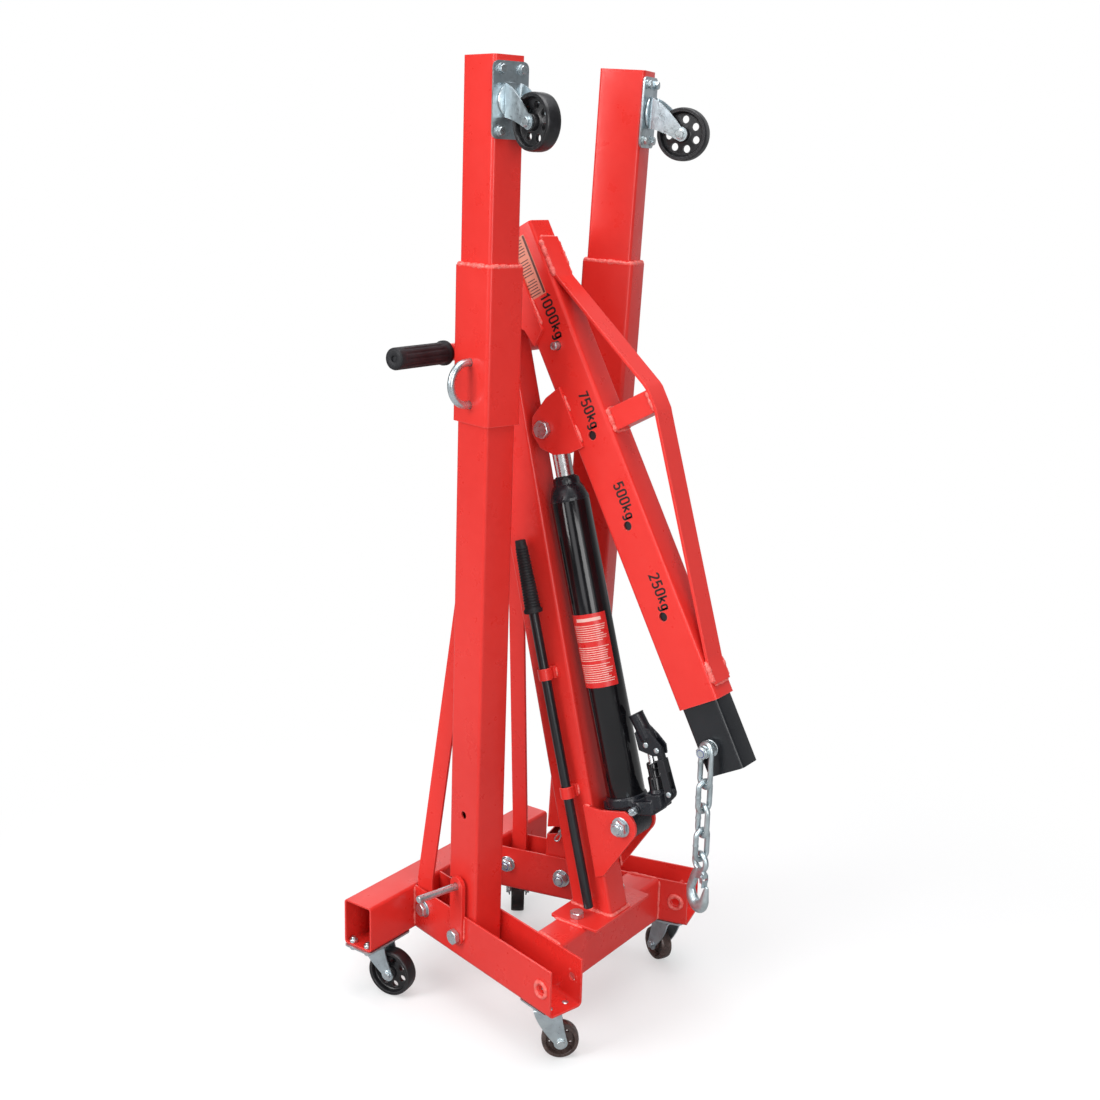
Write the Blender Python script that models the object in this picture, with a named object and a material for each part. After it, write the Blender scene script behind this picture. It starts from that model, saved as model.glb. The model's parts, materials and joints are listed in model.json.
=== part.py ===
# Folding engine hoist crane, as separate named sub-parts.
# Metres, +Z up. +X is the front (the side the legs fold down to), +Y is the left side.
# Dimensions are in millimetres and are turned into metres when a mesh is made. Heights are
# given above the underside of the base. Every moving body hangs on an empty on its joint axis.
from math import atan, cos, hypot, pi, radians, sin

import bmesh
import bpy
from mathutils import Matrix, Vector

# ---------------------------------------------------------------- driving dimensions (mm)
MM = 0.001
BASE_SHIFT_X = -230.96    # moves the base so that the origin is under the middle of the crane
GAP = 0.3                 # gap kept between pieces that touch
BASE_HEIGHT = 91.0        # underside of the base above the floor
WALL = 3.0                # wall of the box sections
TUBE_CORNER, BORE_CORNER = 5, 2.5   # corner radii of a box section, outside and inside

CROSS_HEIGHT = 76.0       # height of the cross tubes and of the channels
REAR_DEPTH = 56.0         # depth of the rear cross tube
REAR_HALF = 232.0         # half length of the rear cross tube
FRONT_TUBE_X = (240.0, 296.0)       # rear and front faces of the front cross tube

SPLAY = radians(13.83)    # each channel opens outward by this angle
CHANNEL_Y = 129.0         # outer wall of a channel at the rear cross tube
CHANNEL_WIDTH = 62.5
CHANNEL_LENGTH = 338.0    # along its outer wall
CHANNEL_CORNER, CHANNEL_BORE_CORNER = 8.0, 5.0
EAR_HALF, EAR_THICK = 15.0, 6.0     # lock pin ear outside a channel

PIVOT_ALONG, PIVOT_UP = 118.0, 40.0  # leg pivot, along the channel and up from its underside
LOCK_UP = 84.0            # lock pin above the pivot, with the leg up
LOCK_DOWN = 200.0         # lock hole in the leg, used with the leg down
LOCK_RADIUS = 5.6
LOCK_STANDOUT = 77        # outer end of the lock pin from the channel's outer wall
PIVOT_BOLT_RADIUS, PIVOT_HOLE_RADIUS = 7.0, 7.4
PIVOT_HEX_RADIUS = 12.7   # head and nut

LEG_DEPTH, LEG_WIDTH = 70.0, 52.0
LEG_END_RADIUS = 35.6     # round lower end of a leg, about its pivot
LEG_TOP_Z = 1050.0
LEG_LEAN = {-1: 0.7, 1: 2.4}        # forward lean of the folded right and left legs, degrees
SLOT_SWEEP, SLOT_STEPS = 42.0, 7    # turn of the curved slot about the pivot, degrees
SLOT_CLEAR = 0.9
SLEEVE_Z = (842.0, 1061.0)          # lower and upper ends of the sleeve
SLEEVE_WALL = 4.0
SLEEVE_CLEAR_ACROSS, SLEEVE_CLEAR_DEEP = 0.8, 1.6
TIP_Z = 1338.0            # top of the extension tube
D_PIN_Z = (869.0, 929.0)  # straight ends of the D pin
D_PIN_RADIUS = 5.5

MAST_DEPTH, MAST_WIDTH = 72.0, 48.6
MAST_FOOT_X, MAST_FOOT_Z = 308.3, 82.6   # a point of the mast's front face
MAST_SLOPE = 0.2477       # rearward lean, dx per dz
MAST_TOP_Z = 1013.8       # the square cut at the top is measured from here
MAST_TOP_CUT = 30         # from there to the cut, along the mast
FOOT_THICK = 4.0

BOOM_TOP = (123.5, 1121.7)          # x, z of the corner of the upper end and the top face
BOOM_ANGLE = radians(-61.72)        # boom direction at rest, from the horizontal
BOOM_LENGTH, BOOM_DEPTH, BOOM_WIDTH = 735.0, 70.0, 50.0
BOOM_HOLES = (180.0, 320.0, 460.0, 600.0)
BOOM_HOLE_RADIUS = 6.9
BOOM_PIN_RADIUS = 6.0
BOOM_EAR_THICK = 6
BOOM_PIVOT_AT = (55.7, 124.0)       # along the boom, down from its top face
RAM_AT = (281.0, 107.5)             # along the boom, down from its top face
BOOM_BOLT_RADIUS, BOOM_BOLT_HOLE, BOOM_BOLT_HEX = 8.0, 8.3, 13.8
EXT_WIDTH, EXT_DEPTH = 43.0, 63.0   # boom extension section
EXT_START, EXT_OUT = 150.0, 104.0   # inner end along the boom; length beyond the boom
EXT_WALL = 4.0

JACK_FOOT = (323.0, 236.0)          # x, z of the jack's foot pivot
JACK_PIVOT_HOLE = 8.4
ROD_RADIUS, CYLINDER_RADIUS = 13.5, 29.5
PUMP_X, PUMP_PIN_UP = 58.0, 120.7   # pump axis in front of the jack's; lever pin up the jack
LEVER_LINK_PIN = (PUMP_X + 18.0, 112.0)  # forward, up the jack
JACK_LUG = (82.0, 44.0)             # forward, up the jack
LINK_HOLE_RADIUS, LINK_PIN_RADIUS = 3.4, 2.9
VALVE_AT = (30, 26)                 # forward, up the jack

HANDLE_X, HANDLE_Z, HANDLE_HALF = 52.0, 933.0, 237.0   # push handle
PUSH_BAR_RADIUS, PUSH_BAR_HOLE = 12.7, 13.3
PUMP_HANDLE_Z = (92, 652)           # ends of the stored pump handle
PUMP_HANDLE_RADIUS = 7.5
PUMP_HANDLE_Y = -MAST_WIDTH / 2 - 16.0
CLIP_Z, CLIP_HALF = (271.0, 451.0), 9

WIRE = 4.0                # radius of the chain wire
WIRE_GAP = 0.8            # play between links
LINK_SIZES = ((57.5, 15.0), (38.5, 12.6), (38.5, 12.6), (38.5, 12.6))  # inside length, width
LINK_TWIST = -22.0        # turn of the first link about the vertical, degrees
CHAIN_BOLT_AT = (463.8, 397.5)      # x, z of the chain bolt in the boom extension
CHAIN_BOLT_RADIUS, CHAIN_BOLT_HEX = 5.0, 9.8
CHAIN_Y = -32.6           # plane of the chain beside the extension


# ---------------------------------------------------------------- frames
def point(x, y, z):
    """A point of the base (z above its underside, mm) in metres, z above the floor."""
    return Vector(((x + BASE_SHIFT_X) * MM, y * MM, (z + BASE_HEIGHT) * MM))


class Frame:
    """A local frame: origin and three unit axes, with points given in mm."""

    def __init__(self, origin, x, y, z):
        self.origin = Vector(origin)
        self.x, self.y, self.z = (Vector(v).normalized() for v in (x, y, z))

    def at(self, x, y, z):
        return self.origin + self.x * x * MM + self.y * y * MM + self.z * z * MM

    def shifted(self, x, y, z):
        return Frame(self.at(x, y, z), self.x, self.y, self.z)


BASE = Frame(point(0, 0, 0), (1, 0, 0), (0, 1, 0), (0, 0, 1))
# outlines in x and z, extruded towards the right
SIDE_VIEW = Frame(point(0, 0, 0), (1, 0, 0), (0, 0, 1), (0, -1, 0))


class Side:
    """One side of the base. sign = -1 is the right side, +1 the left."""

    def __init__(self, sign):
        self.sign = sign
        self.name = "right" if sign < 0 else "left"
        self.along = Vector((cos(SPLAY), sign * sin(SPLAY), 0))
        self.inward = Vector((sin(SPLAY), -sign * cos(SPLAY), 0))
        up = Vector((0, 0, 1))
        # channel frame: x along the channel, y inwards from its outer wall, z up
        self.channel = Frame(point(0, sign * CHANNEL_Y, 0), self.along, self.inward, up)
        self.pivot = self.channel.at(PIVOT_ALONG, CHANNEL_WIDTH / 2, PIVOT_UP)
        # leg frame: origin on the pivot, x forward across the leg, y inwards, z up the leg
        self.lean = LEG_LEAN[sign]
        lean = radians(self.lean)
        leg_up = up * cos(lean) + self.along * sin(lean)
        forward = self.along * cos(lean) - up * sin(lean)
        self.leg = Frame(self.pivot, forward, self.inward, leg_up)


SIDES = [Side(-1), Side(1)]


def mast_x(z):
    """Front face of the mast at height z."""
    return MAST_FOOT_X - MAST_SLOPE * (z - MAST_FOOT_Z)


MAST_ANGLE = atan(MAST_SLOPE)
MAST_LEVEL_DEPTH = MAST_DEPTH / cos(MAST_ANGLE)    # depth of a level section
# mast frame: z up the mast, x forward across it, origin on its middle line near the top
MAST = Frame(point(mast_x(MAST_TOP_Z) - MAST_LEVEL_DEPTH / 2, 0, MAST_TOP_Z),
             (cos(MAST_ANGLE), 0, sin(MAST_ANGLE)), (0, 1, 0),
             (-sin(MAST_ANGLE), 0, cos(MAST_ANGLE)))

# boom frame: x along the boom, y down from its top face, z across to the right side (-Y)
BOOM = Frame(point(BOOM_TOP[0], 0, BOOM_TOP[1]), (cos(BOOM_ANGLE), 0, sin(BOOM_ANGLE)),
             (sin(BOOM_ANGLE), 0, -cos(BOOM_ANGLE)), (0, -1, 0))
BOOM_SECTION = Frame(BOOM.origin, BOOM.y, BOOM.z, BOOM.x)
BOOM_MID = BOOM_DEPTH / 2
BOOM_PIVOT = BOOM.at(*BOOM_PIVOT_AT, 0)
RAM = BOOM.at(*RAM_AT, 0)
CHAIN_BOLT = point(CHAIN_BOLT_AT[0], 0, CHAIN_BOLT_AT[1])

# jack frame: origin on the foot pivot, z up the jack, x towards the front, y to the left
FOOT = point(JACK_FOOT[0], 0, JACK_FOOT[1])
JACK_LENGTH = (RAM - FOOT).length / MM
JACK_UP = (RAM - FOOT).normalized()
JACK = Frame(FOOT, Vector((0, 1, 0)).cross(JACK_UP), (0, 1, 0), JACK_UP)
# the same with y up the jack and z to the right
JACK_SIDE = Frame(JACK.origin, JACK.x, JACK.z, -JACK.y)


def pump_handle_point(z):
    """Middle line of the stored pump handle at height z, beside the mast's right face."""
    middle = mast_x(z) - MAST_LEVEL_DEPTH / 2
    return point(middle + 8.5 * (650 - z) / 560.0, PUMP_HANDLE_Y, z)


# pump handle frame: origin on its lower end, y to the left, z up the handle
HANDLE_FOOT, HANDLE_TOP = (pump_handle_point(z) for z in PUMP_HANDLE_Z)
HANDLE_UP = (HANDLE_TOP - HANDLE_FOOT).normalized()
PUMP_HANDLE = Frame(HANDLE_FOOT, HANDLE_UP.cross(Vector((0, 1, 0))) * -1, (0, 1, 0), HANDLE_UP)


# ---------------------------------------------------------------- outlines
def arc(center_x, center_y, radius, start, step, count):
    """Points on a circle, from the angle start by step, in degrees."""
    angles = [radians(start + step * k) for k in range(count)]
    return [(center_x + radius * cos(t), center_y + radius * sin(t)) for t in angles]


def rounded(x0, x1, y0, y1, radius, steps=2):
    """A rectangle with rounded corners."""
    corners = ((x1 - radius, y0 + radius, -90), (x1 - radius, y1 - radius, 0),
               (x0 + radius, y1 - radius, 90), (x0 + radius, y0 + radius, 180))
    outline = []
    for x, y, start in corners:
        outline += arc(x, y, radius, start, 90.0 / steps, steps + 1)
    return outline


def tube_section(x0, x1, y0, y1, inset=0.0):
    """Outside of a box section, or with an inset its bore."""
    radius, steps = (BORE_CORNER, 1) if inset else (TUBE_CORNER, 2)
    return rounded(x0 + inset, x1 - inset, y0 + inset, y1 - inset, radius, steps)


# ---------------------------------------------------------------- solids
def new_object(bm):
    bmesh.ops.recalc_face_normals(bm, faces=bm.faces[:])
    mesh = bpy.data.meshes.new("piece")
    bm.to_mesh(mesh)
    bm.free()
    obj = bpy.data.objects.new("piece", mesh)
    bpy.context.scene.collection.objects.link(obj)
    return obj


def loft(rings, capped=True):
    """Closed skin through rings of equal length, capped or joined end to end."""
    bm = bmesh.new()
    made = [[bm.verts.new(p) for p in ring] for ring in rings]
    count = len(rings[0])
    for lower, upper in zip(made, made[1:]):
        for i in range(count):
            k = (i + 1) % count
            bm.faces.new((lower[i], lower[k], upper[k], upper[i]))
    if capped:
        bm.faces.new(list(reversed(made[0])))
        bm.faces.new(made[-1])
    else:
        for i in range(count):
            k = (i + 1) % count
            bm.faces.new((made[-1][i], made[-1][k], made[0][k], made[0][i]))
    return new_object(bm)


def prism(frame, outline, z0, z1):
    """An outline in the frame's x and y, extruded along its z."""
    return loft([[frame.at(x, y, z) for x, y in outline] for z in (z0, z1)])


def box(frame, x0, x1, y0, y1, z0, z1):
    return prism(frame, [(x0, y0), (x1, y0), (x1, y1), (x0, y1)], z0, z1)


def cylinder(start, end, radius, sides):
    """A cylinder between two points in metres; radius in mm."""
    direction = (end - start).normalized()
    helper = Vector((0, 0, 1)) if abs(direction.z) < 0.9 else Vector((1, 0, 0))
    u = direction.cross(helper).normalized()
    v = direction.cross(u)
    angles = [2 * pi * i / sides for i in range(sides)]
    return loft([[p + u * radius * MM * cos(t) + v * radius * MM * sin(t) for t in angles]
                 for p in (start, end)])


def along_y(frame, x, z, y0, y1, radius, sides):
    """A cylinder along the frame's y."""
    return cylinder(frame.at(x, y0, z), frame.at(x, y1, z), radius, sides)


def along_z(frame, x, y, z0, z1, radius, sides):
    """A cylinder along the frame's z."""
    return cylinder(frame.at(x, y, z0), frame.at(x, y, z1), radius, sides)


def across(middle, y0, y1, radius, sides):
    """A cylinder along the world's Y, from y0 to y1 (mm) about a point in metres."""
    ends = [middle + Vector((0, y, 0)) * MM for y in (y0, y1)]
    return cylinder(*ends, radius, sides)


def turned(frame, profile, sides):
    """A turned solid about the frame's z; (radius, height) pairs start and end on the axis."""
    bm = bmesh.new()
    rings = []
    for r, z in profile:
        if r < 1e-6:
            rings.append([bm.verts.new(frame.at(0, 0, z))])
        else:
            angles = [2 * pi * i / sides for i in range(sides)]
            rings.append([bm.verts.new(frame.at(r * cos(t), r * sin(t), z)) for t in angles])
    for lower, upper in zip(rings, rings[1:]):
        for i in range(sides):
            k = (i + 1) % sides
            if len(lower) == 1:
                bm.faces.new((lower[0], upper[k], upper[i]))
            elif len(upper) == 1:
                bm.faces.new((lower[i], lower[k], upper[0]))
            else:
                bm.faces.new((lower[i], lower[k], upper[k], upper[i]))
    return new_object(bm)


def ring_turned(frame, profile, sides):
    """A turned ring about the frame's z, from a closed profile of (radius, height) pairs."""
    angles = [2 * pi * i / sides for i in range(sides)]
    return loft([[frame.at(r * cos(t), r * sin(t), z) for r, z in profile] for t in angles],
                capped=False)


def swept(frame, path, radii, sides, closed=False, flat=1.0):
    """A bar along a path in the frame's x and y; flat scales its thickness along z."""
    last = len(path) - 1
    rings = []
    for k, ((x, y), radius) in enumerate(zip(path, radii)):
        if closed:
            before, after = path[k - 1], path[(k + 1) % len(path)]
        else:
            before, after = path[max(0, k - 1)], path[min(last, k + 1)]
        tangent = Vector((after[0] - before[0], after[1] - before[1])).normalized()
        angles = [2 * pi * i / sides for i in range(sides)]
        rings.append([frame.at(x + tangent.y * radius * cos(t), y - tangent.x * radius * cos(t),
                               flat * radius * sin(t)) for t in angles])
    return loft(rings, capped=not closed)


def merge(base, *others, operation="UNION"):
    """Joins or cuts base with the others, one after the other, and removes them."""
    for other in others:
        modifier = base.modifiers.new("boolean", "BOOLEAN")
        modifier.operation, modifier.solver, modifier.object = operation, "EXACT", other
        bpy.context.view_layer.update()
        evaluated = base.evaluated_get(bpy.context.evaluated_depsgraph_get())
        made = bpy.data.meshes.new_from_object(evaluated)
        base.modifiers.clear()
        old = base.data
        base.data = made
        bpy.data.meshes.remove(old)
        bpy.data.objects.remove(other, do_unlink=True)
    return base


def cut(base, *others):
    return merge(base, *others, operation="DIFFERENCE")


# ---------------------------------------------------------------- bodies and materials
AXES = {}    # body name: (empty, its place in metres)


def body(name, parent, pivot):
    """An empty on a body's joint axis; the body's pieces are its children."""
    empty = bpy.data.objects.new("axis_" + name, None)
    empty.empty_display_size = 0.03
    bpy.context.scene.collection.objects.link(empty)
    if parent:
        empty.parent = AXES[parent][0]
        empty.location = Vector(pivot) - AXES[parent][1]
    else:
        empty.location = pivot
    AXES[name] = (empty, Vector(pivot))


def place(obj, name, body_name, mat, smooth=None):
    """Names a piece, hangs it on its body's axis and gives it its material.

    smooth is the angle in degrees above which edges stay sharp; None leaves flat shading.
    """
    obj.name = name
    obj.data.name = name
    empty, pivot = AXES[body_name]
    obj.data.transform(Matrix.Translation(-pivot))
    obj.parent = empty
    obj.data.materials.append(mat)
    if smooth is not None:
        obj.data.shade_smooth()
        obj.data.set_sharp_from_angle(angle=radians(smooth))


def material(name, colour, roughness, metallic):
    mat = bpy.data.materials.new(name)
    mat.use_nodes = True
    shader = mat.node_tree.nodes["Principled BSDF"]
    shader.inputs["Base Color"].default_value = (*colour, 1.0)
    shader.inputs["Roughness"].default_value = roughness
    shader.inputs["Metallic"].default_value = metallic
    mat.diffuse_color = (*colour, 1.0)
    return mat


for old_object in list(bpy.data.objects):
    bpy.data.objects.remove(old_object, do_unlink=True)

RED_PAINT = material("red_paint", (0.80, 0.035, 0.03), roughness=0.34, metallic=0.0)
BLACK_GLOSS = material("black_gloss_paint", (0.012, 0.012, 0.013), roughness=0.22, metallic=0.0)
BLACK_SATIN = material("black_satin_paint", (0.018, 0.018, 0.019), roughness=0.42, metallic=0.0)
ZINC = material("zinc_plate", (0.56, 0.62, 0.65), roughness=0.32, metallic=0.9)
CHROME = material("ram_chrome", (0.72, 0.73, 0.74), roughness=0.12, metallic=1.0)
RUBBER = material("black_rubber", (0.02, 0.02, 0.021), roughness=0.7, metallic=0.0)
CAST_IRON = material("black_cast_iron", (0.03, 0.027, 0.027), roughness=0.45, metallic=0.2)
BROWN_WHEEL = material("brown_black_wheel", (0.05, 0.036, 0.033), roughness=0.4, metallic=0.1)


# ---------------------------------------------------------------- base
def rear_cross_tube():
    section = (-REAR_DEPTH, 0, 0, CROSS_HEIGHT)
    tube = prism(SIDE_VIEW, tube_section(*section), -REAR_HALF, REAR_HALF)
    bore = prism(SIDE_VIEW, tube_section(*section, WALL), -REAR_HALF - 5, REAR_HALF + 5)
    place(cut(tube, bore), "rear_cross_tube", "base", RED_PAINT, 30)


def channel_inner_y(x):
    """Distance from the middle plane to the inner wall of a channel, at x."""
    along = (x - sin(SPLAY) * CHANNEL_WIDTH) / cos(SPLAY)
    return CHANNEL_Y + sin(SPLAY) * along - cos(SPLAY) * CHANNEL_WIDTH


def front_cross_tube():
    """Box tube between the channels, its ends cut to their splay."""

    def solid(inset, extra):
        outline = tube_section(*FRONT_TUBE_X, 0, CROSS_HEIGHT, inset)
        return loft([[point(x, sign * (channel_inner_y(x) - GAP + extra), z)
                      for x, z in outline] for sign in (-1, 1)])

    place(cut(solid(0, 0), solid(WALL, 8)), "front_cross_tube", "base", RED_PAINT, 30)


def channel_section():
    """Open-topped U: (inwards, up)."""
    outer, inner, width = CHANNEL_CORNER, CHANNEL_BORE_CORNER, CHANNEL_WIDTH
    return ([(0, CROSS_HEIGHT)]
            + arc(outer, outer, outer, 180, 45, 3)
            + arc(width - outer, outer, outer, 270, 45, 3)
            + [(width, CROSS_HEIGHT), (width - WALL, CROSS_HEIGHT)]
            + arc(width - WALL - inner, WALL + inner, inner, 0, -45, 3)
            + arc(WALL + inner, WALL + inner, inner, 270, -45, 3)
            + [(WALL, CROSS_HEIGHT)])


def channel(side):
    """Channel that holds a leg, with an ear plate for the lock pin outside its outer wall."""
    frame = side.channel
    section = channel_section()
    # the rear end is cut to the face of the rear cross tube
    back = [frame.at((GAP - sin(SPLAY) * y) / cos(SPLAY), y, z) for y, z in section]
    front = [frame.at(CHANNEL_LENGTH, y, z) for y, z in section]
    ear_outline = (arc(0, 0, EAR_HALF, 180, 22.5, 9)
                   + arc(0, LOCK_UP, EAR_HALF, 0, 22.5, 9))
    ear_frame = Frame(frame.at(PIVOT_ALONG, 0, PIVOT_UP), side.along, (0, 0, 1), side.inward)
    made = merge(loft([back, front]), prism(ear_frame, ear_outline, -EAR_THICK, 1.0))
    # pivot hole, lock hole in the ear, lock hole near the front end
    cut(made,
        along_y(frame, PIVOT_ALONG, PIVOT_UP, -20, 90, PIVOT_HOLE_RADIUS, 12),
        along_y(frame, PIVOT_ALONG, PIVOT_UP + LOCK_UP, -20, 3, LOCK_RADIUS + 0.5, 12),
        along_y(frame, PIVOT_ALONG + LOCK_DOWN, PIVOT_UP, -20, 90, LOCK_RADIUS + 0.7, 12))
    place(made, "channel_" + side.name, "base", RED_PAINT, 30)


def leg_pivot_bolt(side):
    """Bolt with head and nut, through both walls and the leg."""
    ear_face, inner_face = -EAR_THICK - GAP, CHANNEL_WIDTH + GAP

    def part(y0, y1, radius, sides):
        return along_y(side.channel, PIVOT_ALONG, PIVOT_UP, y0, y1, radius, sides)

    bolt = merge(part(ear_face - 12, CHANNEL_WIDTH + 14, PIVOT_BOLT_RADIUS, 12),
                 part(ear_face - 9, ear_face, PIVOT_HEX_RADIUS, 6),
                 part(inner_face, inner_face + 11, PIVOT_HEX_RADIUS, 6))
    place(bolt, "leg_pivot_bolt_" + side.name, "base", ZINC)


def lock_pin(side):
    """Plain bar through the ear and the leg, standing out on the outside."""
    lock_z = PIVOT_UP + LOCK_UP
    name = "lock_pin_" + side.name
    body(name, "base", side.channel.at(PIVOT_ALONG, 0, lock_z))
    pin = along_y(side.channel, PIVOT_ALONG, lock_z, -LOCK_STANDOUT, CHANNEL_WIDTH + 6,
                  LOCK_RADIUS, 16)
    place(pin, name, name, ZINC, 40)


# ---------------------------------------------------------------- legs
LEG_SECTION = (-LEG_DEPTH / 2, LEG_DEPTH / 2, -LEG_WIDTH / 2, LEG_WIDTH / 2)
SLEEVE_HALF_WIDTH = LEG_WIDTH / 2 + SLEEVE_CLEAR_ACROSS + SLEEVE_WALL
SLEEVE_HALF_DEPTH = LEG_DEPTH / 2 + SLEEVE_CLEAR_DEEP + SLEEVE_WALL


def leg(side):
    """Box tube with a round lower end that turns inside the channel."""
    frame = side.leg
    top = LEG_TOP_Z - PIVOT_UP
    made = prism(frame, tube_section(*LEG_SECTION), -PIVOT_UP + 7, top)
    bore = prism(frame, tube_section(*LEG_SECTION, WALL), -PIVOT_UP - 5, top + 5)
    below = cut(box(frame, -60, 60, -55, 55, -PIVOT_UP - 20, 0),
                along_y(frame, 0, 0, -70, 70, LEG_END_RADIUS, 32))
    cut(made, bore, below,
        along_y(frame, 0, 0, -60, 60, PIVOT_HOLE_RADIUS, 12),
        along_y(frame, 0, LOCK_DOWN, -60, 60, LOCK_RADIUS + 0.7, 12))

    # curved slot: the lock pin leaves it through the leg's rear face as the leg folds
    slot_radius = LOCK_RADIUS + SLOT_CLEAR
    start, step = 90 + side.lean, SLOT_SWEEP / SLOT_STEPS
    outer_arc = arc(0, 0, LOCK_UP + slot_radius, start, step, SLOT_STEPS + 1)
    inner_arc = arc(0, 0, LOCK_UP - slot_radius, start, step, SLOT_STEPS + 1)
    slot_frame = Frame(frame.origin, frame.x, frame.z, frame.y)
    slot = prism(slot_frame, outer_arc + inner_arc[::-1], -60, 60)
    lean = radians(side.lean)
    slot_end = along_y(frame, -LOCK_UP * sin(lean), LOCK_UP * cos(lean), -60, 60,
                       slot_radius, 12)
    # slot for the D pin in the outer wall, open at the leg's end
    half = D_PIN_RADIUS + 0.9
    pin_slot = box(frame, -half, half, -60, -LEG_WIDTH / 2 + WALL + 6,
                   D_PIN_Z[0] - PIVOT_UP - half, top + 5)
    cut(made, slot, slot_end, pin_slot)
    place(made, "leg_" + side.name, "leg_" + side.name, RED_PAINT, 30)


def leg_extension(side):
    """Sleeve over the leg, with the upper tube."""
    frame = side.leg
    low, high, tip = SLEEVE_Z[0] - PIVOT_UP, SLEEVE_Z[1] - PIVOT_UP, TIP_Z - PIVOT_UP
    name = "leg_extension_" + side.name
    body(name, "leg_" + side.name, frame.at(0, 0, high))
    deep, wide = SLEEVE_HALF_DEPTH, SLEEVE_HALF_WIDTH
    made = merge(prism(frame, rounded(-deep, deep, -wide, wide, 6), low, high),
                 prism(frame, tube_section(*LEG_SECTION), high - 12, tip))
    deep, wide = deep - SLEEVE_WALL, wide - SLEEVE_WALL
    cut(made, prism(frame, rounded(-deep, deep, -wide, wide, 4), low - 5, high - 8),
        prism(frame, tube_section(*LEG_SECTION, WALL), high - 20, tip + 5))
    for z in D_PIN_Z:
        cut(made, along_y(frame, 0, z - PIVOT_UP, -60, -LEG_WIDTH / 2 + 8,
                          D_PIN_RADIUS + 0.6, 12))
    place(made, name, name, RED_PAINT, 30)


def d_pin(side):
    """A half ring outside the sleeve, with two straight ends in its holes."""
    frame = side.leg
    middle = sum(D_PIN_Z) / 2 - PIVOT_UP
    half = (D_PIN_Z[1] - D_PIN_Z[0]) / 2
    name = "d_pin_" + side.name
    body(name, "leg_extension_" + side.name, frame.at(0, -SLEEVE_HALF_WIDTH, middle))
    inner_end = -SLEEVE_HALF_WIDTH + 9.5
    # (inwards, up the leg)
    bend = [(-SLEEVE_HALF_WIDTH - 5 - (half - 3) * x, half * y)
            for x, y in arc(0, 0, 1, -90, 22.5, 9)]
    path = [(inner_end, -half)] + bend + [(inner_end, half)]
    path_frame = Frame(frame.at(0, 0, middle), frame.y, frame.z, frame.x)
    pin = swept(path_frame, path, [D_PIN_RADIUS] * len(path), 8)
    place(pin, name, name, ZINC, 50)


# ---------------------------------------------------------------- mast
def mast_solid(inset, low, high):
    section = tube_section(-MAST_LEVEL_DEPTH, 0, -MAST_WIDTH / 2, MAST_WIDTH / 2, inset)
    return loft([[point(mast_x(z) + x, y, z) for x, y in section] for z in (low, high)])


def handle_clip(z):
    """Ring and stem on the mast's right face that hold the pump handle."""
    radius = PUMP_HANDLE_RADIUS
    middle = (z - PUMP_HANDLE_Z[0]) / HANDLE_UP.z
    low, high = middle - CLIP_HALF, middle + CLIP_HALF
    inner, outer = radius + 0.6, radius + 3.1
    profile = [(inner, low), (outer, low), (outer, high), (inner, high)]
    ring = ring_turned(PUMP_HANDLE, profile, 14)
    stem = box(PUMP_HANDLE, -radius - 3, radius + 3, radius + 1.6, 17.0, low, high)
    return merge(stem, ring)


def mast():
    """Leaning box tube on a foot plate, with ears for the jack and clips for its handle."""
    foot_z, high = CROSS_HEIGHT + GAP, MAST_TOP_Z + 33.0
    made = mast_solid(0, foot_z + 1, high)
    cut(made, mast_solid(WALL, foot_z + FOOT_THICK, high + 10))
    # the top is cut square to the mast
    cut(made, box(MAST, -80, 80, -60, 60, MAST_TOP_CUT, 120))
    merge(made, prism(BASE, rounded(230, 316, -75, 75, 4, 1), foot_z, foot_z + FOOT_THICK))
    foot_x, pivot_z = JACK_FOOT
    ear = ([(mast_x(252) - 14, 252), (284, 252), (foot_x + 4, 262)]
           + arc(foot_x, pivot_z, 26.0, 75, -23, 6)
           + [(mast_x(146) + 2, 146), (mast_x(140) - 14, 140)])
    for s in (-1, 1):
        merge(made, prism(SIDE_VIEW, ear, s * (MAST_WIDTH / 2 - 1), s * (MAST_WIDTH / 2 + 5)))
    cut(made, across(FOOT, -60, 60, JACK_PIVOT_HOLE, 14),
        across(BOOM_PIVOT, -60, 60, 8.6, 16),
        across(point(HANDLE_X, 0, HANDLE_Z), -60, 60, PUSH_BAR_HOLE, 18))
    for z in CLIP_Z:
        merge(made, handle_clip(z))
    place(made, "mast", "base", RED_PAINT, 30)


# (radius, distance from the outer end)
GRIP_PROFILE = [(0, 0), (14.5, 0), (15.8, 2), (15.8, 104), (18.0, 105), (18.0, 111),
                (13.2, 111), (13.2, 5), (0, 5)]


def push_handle():
    """Bar through the mast, with rubber grips."""
    half = HANDLE_HALF - 6
    bar = across(point(HANDLE_X, 0, HANDLE_Z), -half, half, PUSH_BAR_RADIUS, 18)
    place(bar, "push_handle_bar", "base", RED_PAINT, 40)
    for side in SIDES:
        s = side.sign
        outer_end = point(HANDLE_X, s * HANDLE_HALF, HANDLE_Z)
        grip_frame = Frame(outer_end, (1, 0, 0), (0, 0, 1), (0, -s, 0))
        place(turned(grip_frame, GRIP_PROFILE, 18), "push_handle_grip_" + side.name, "base",
              RUBBER, 40)


# (x, z, outer face's distance from the middle plane), from the bottom up
BRACE_STATIONS = [(20, 20, 127.0), (20, 96, 127.0), (62, 852, 31.8), (62, 890, 31.8)]
BRACE_HALF, BRACE_THICK = 15.0, 5


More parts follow.
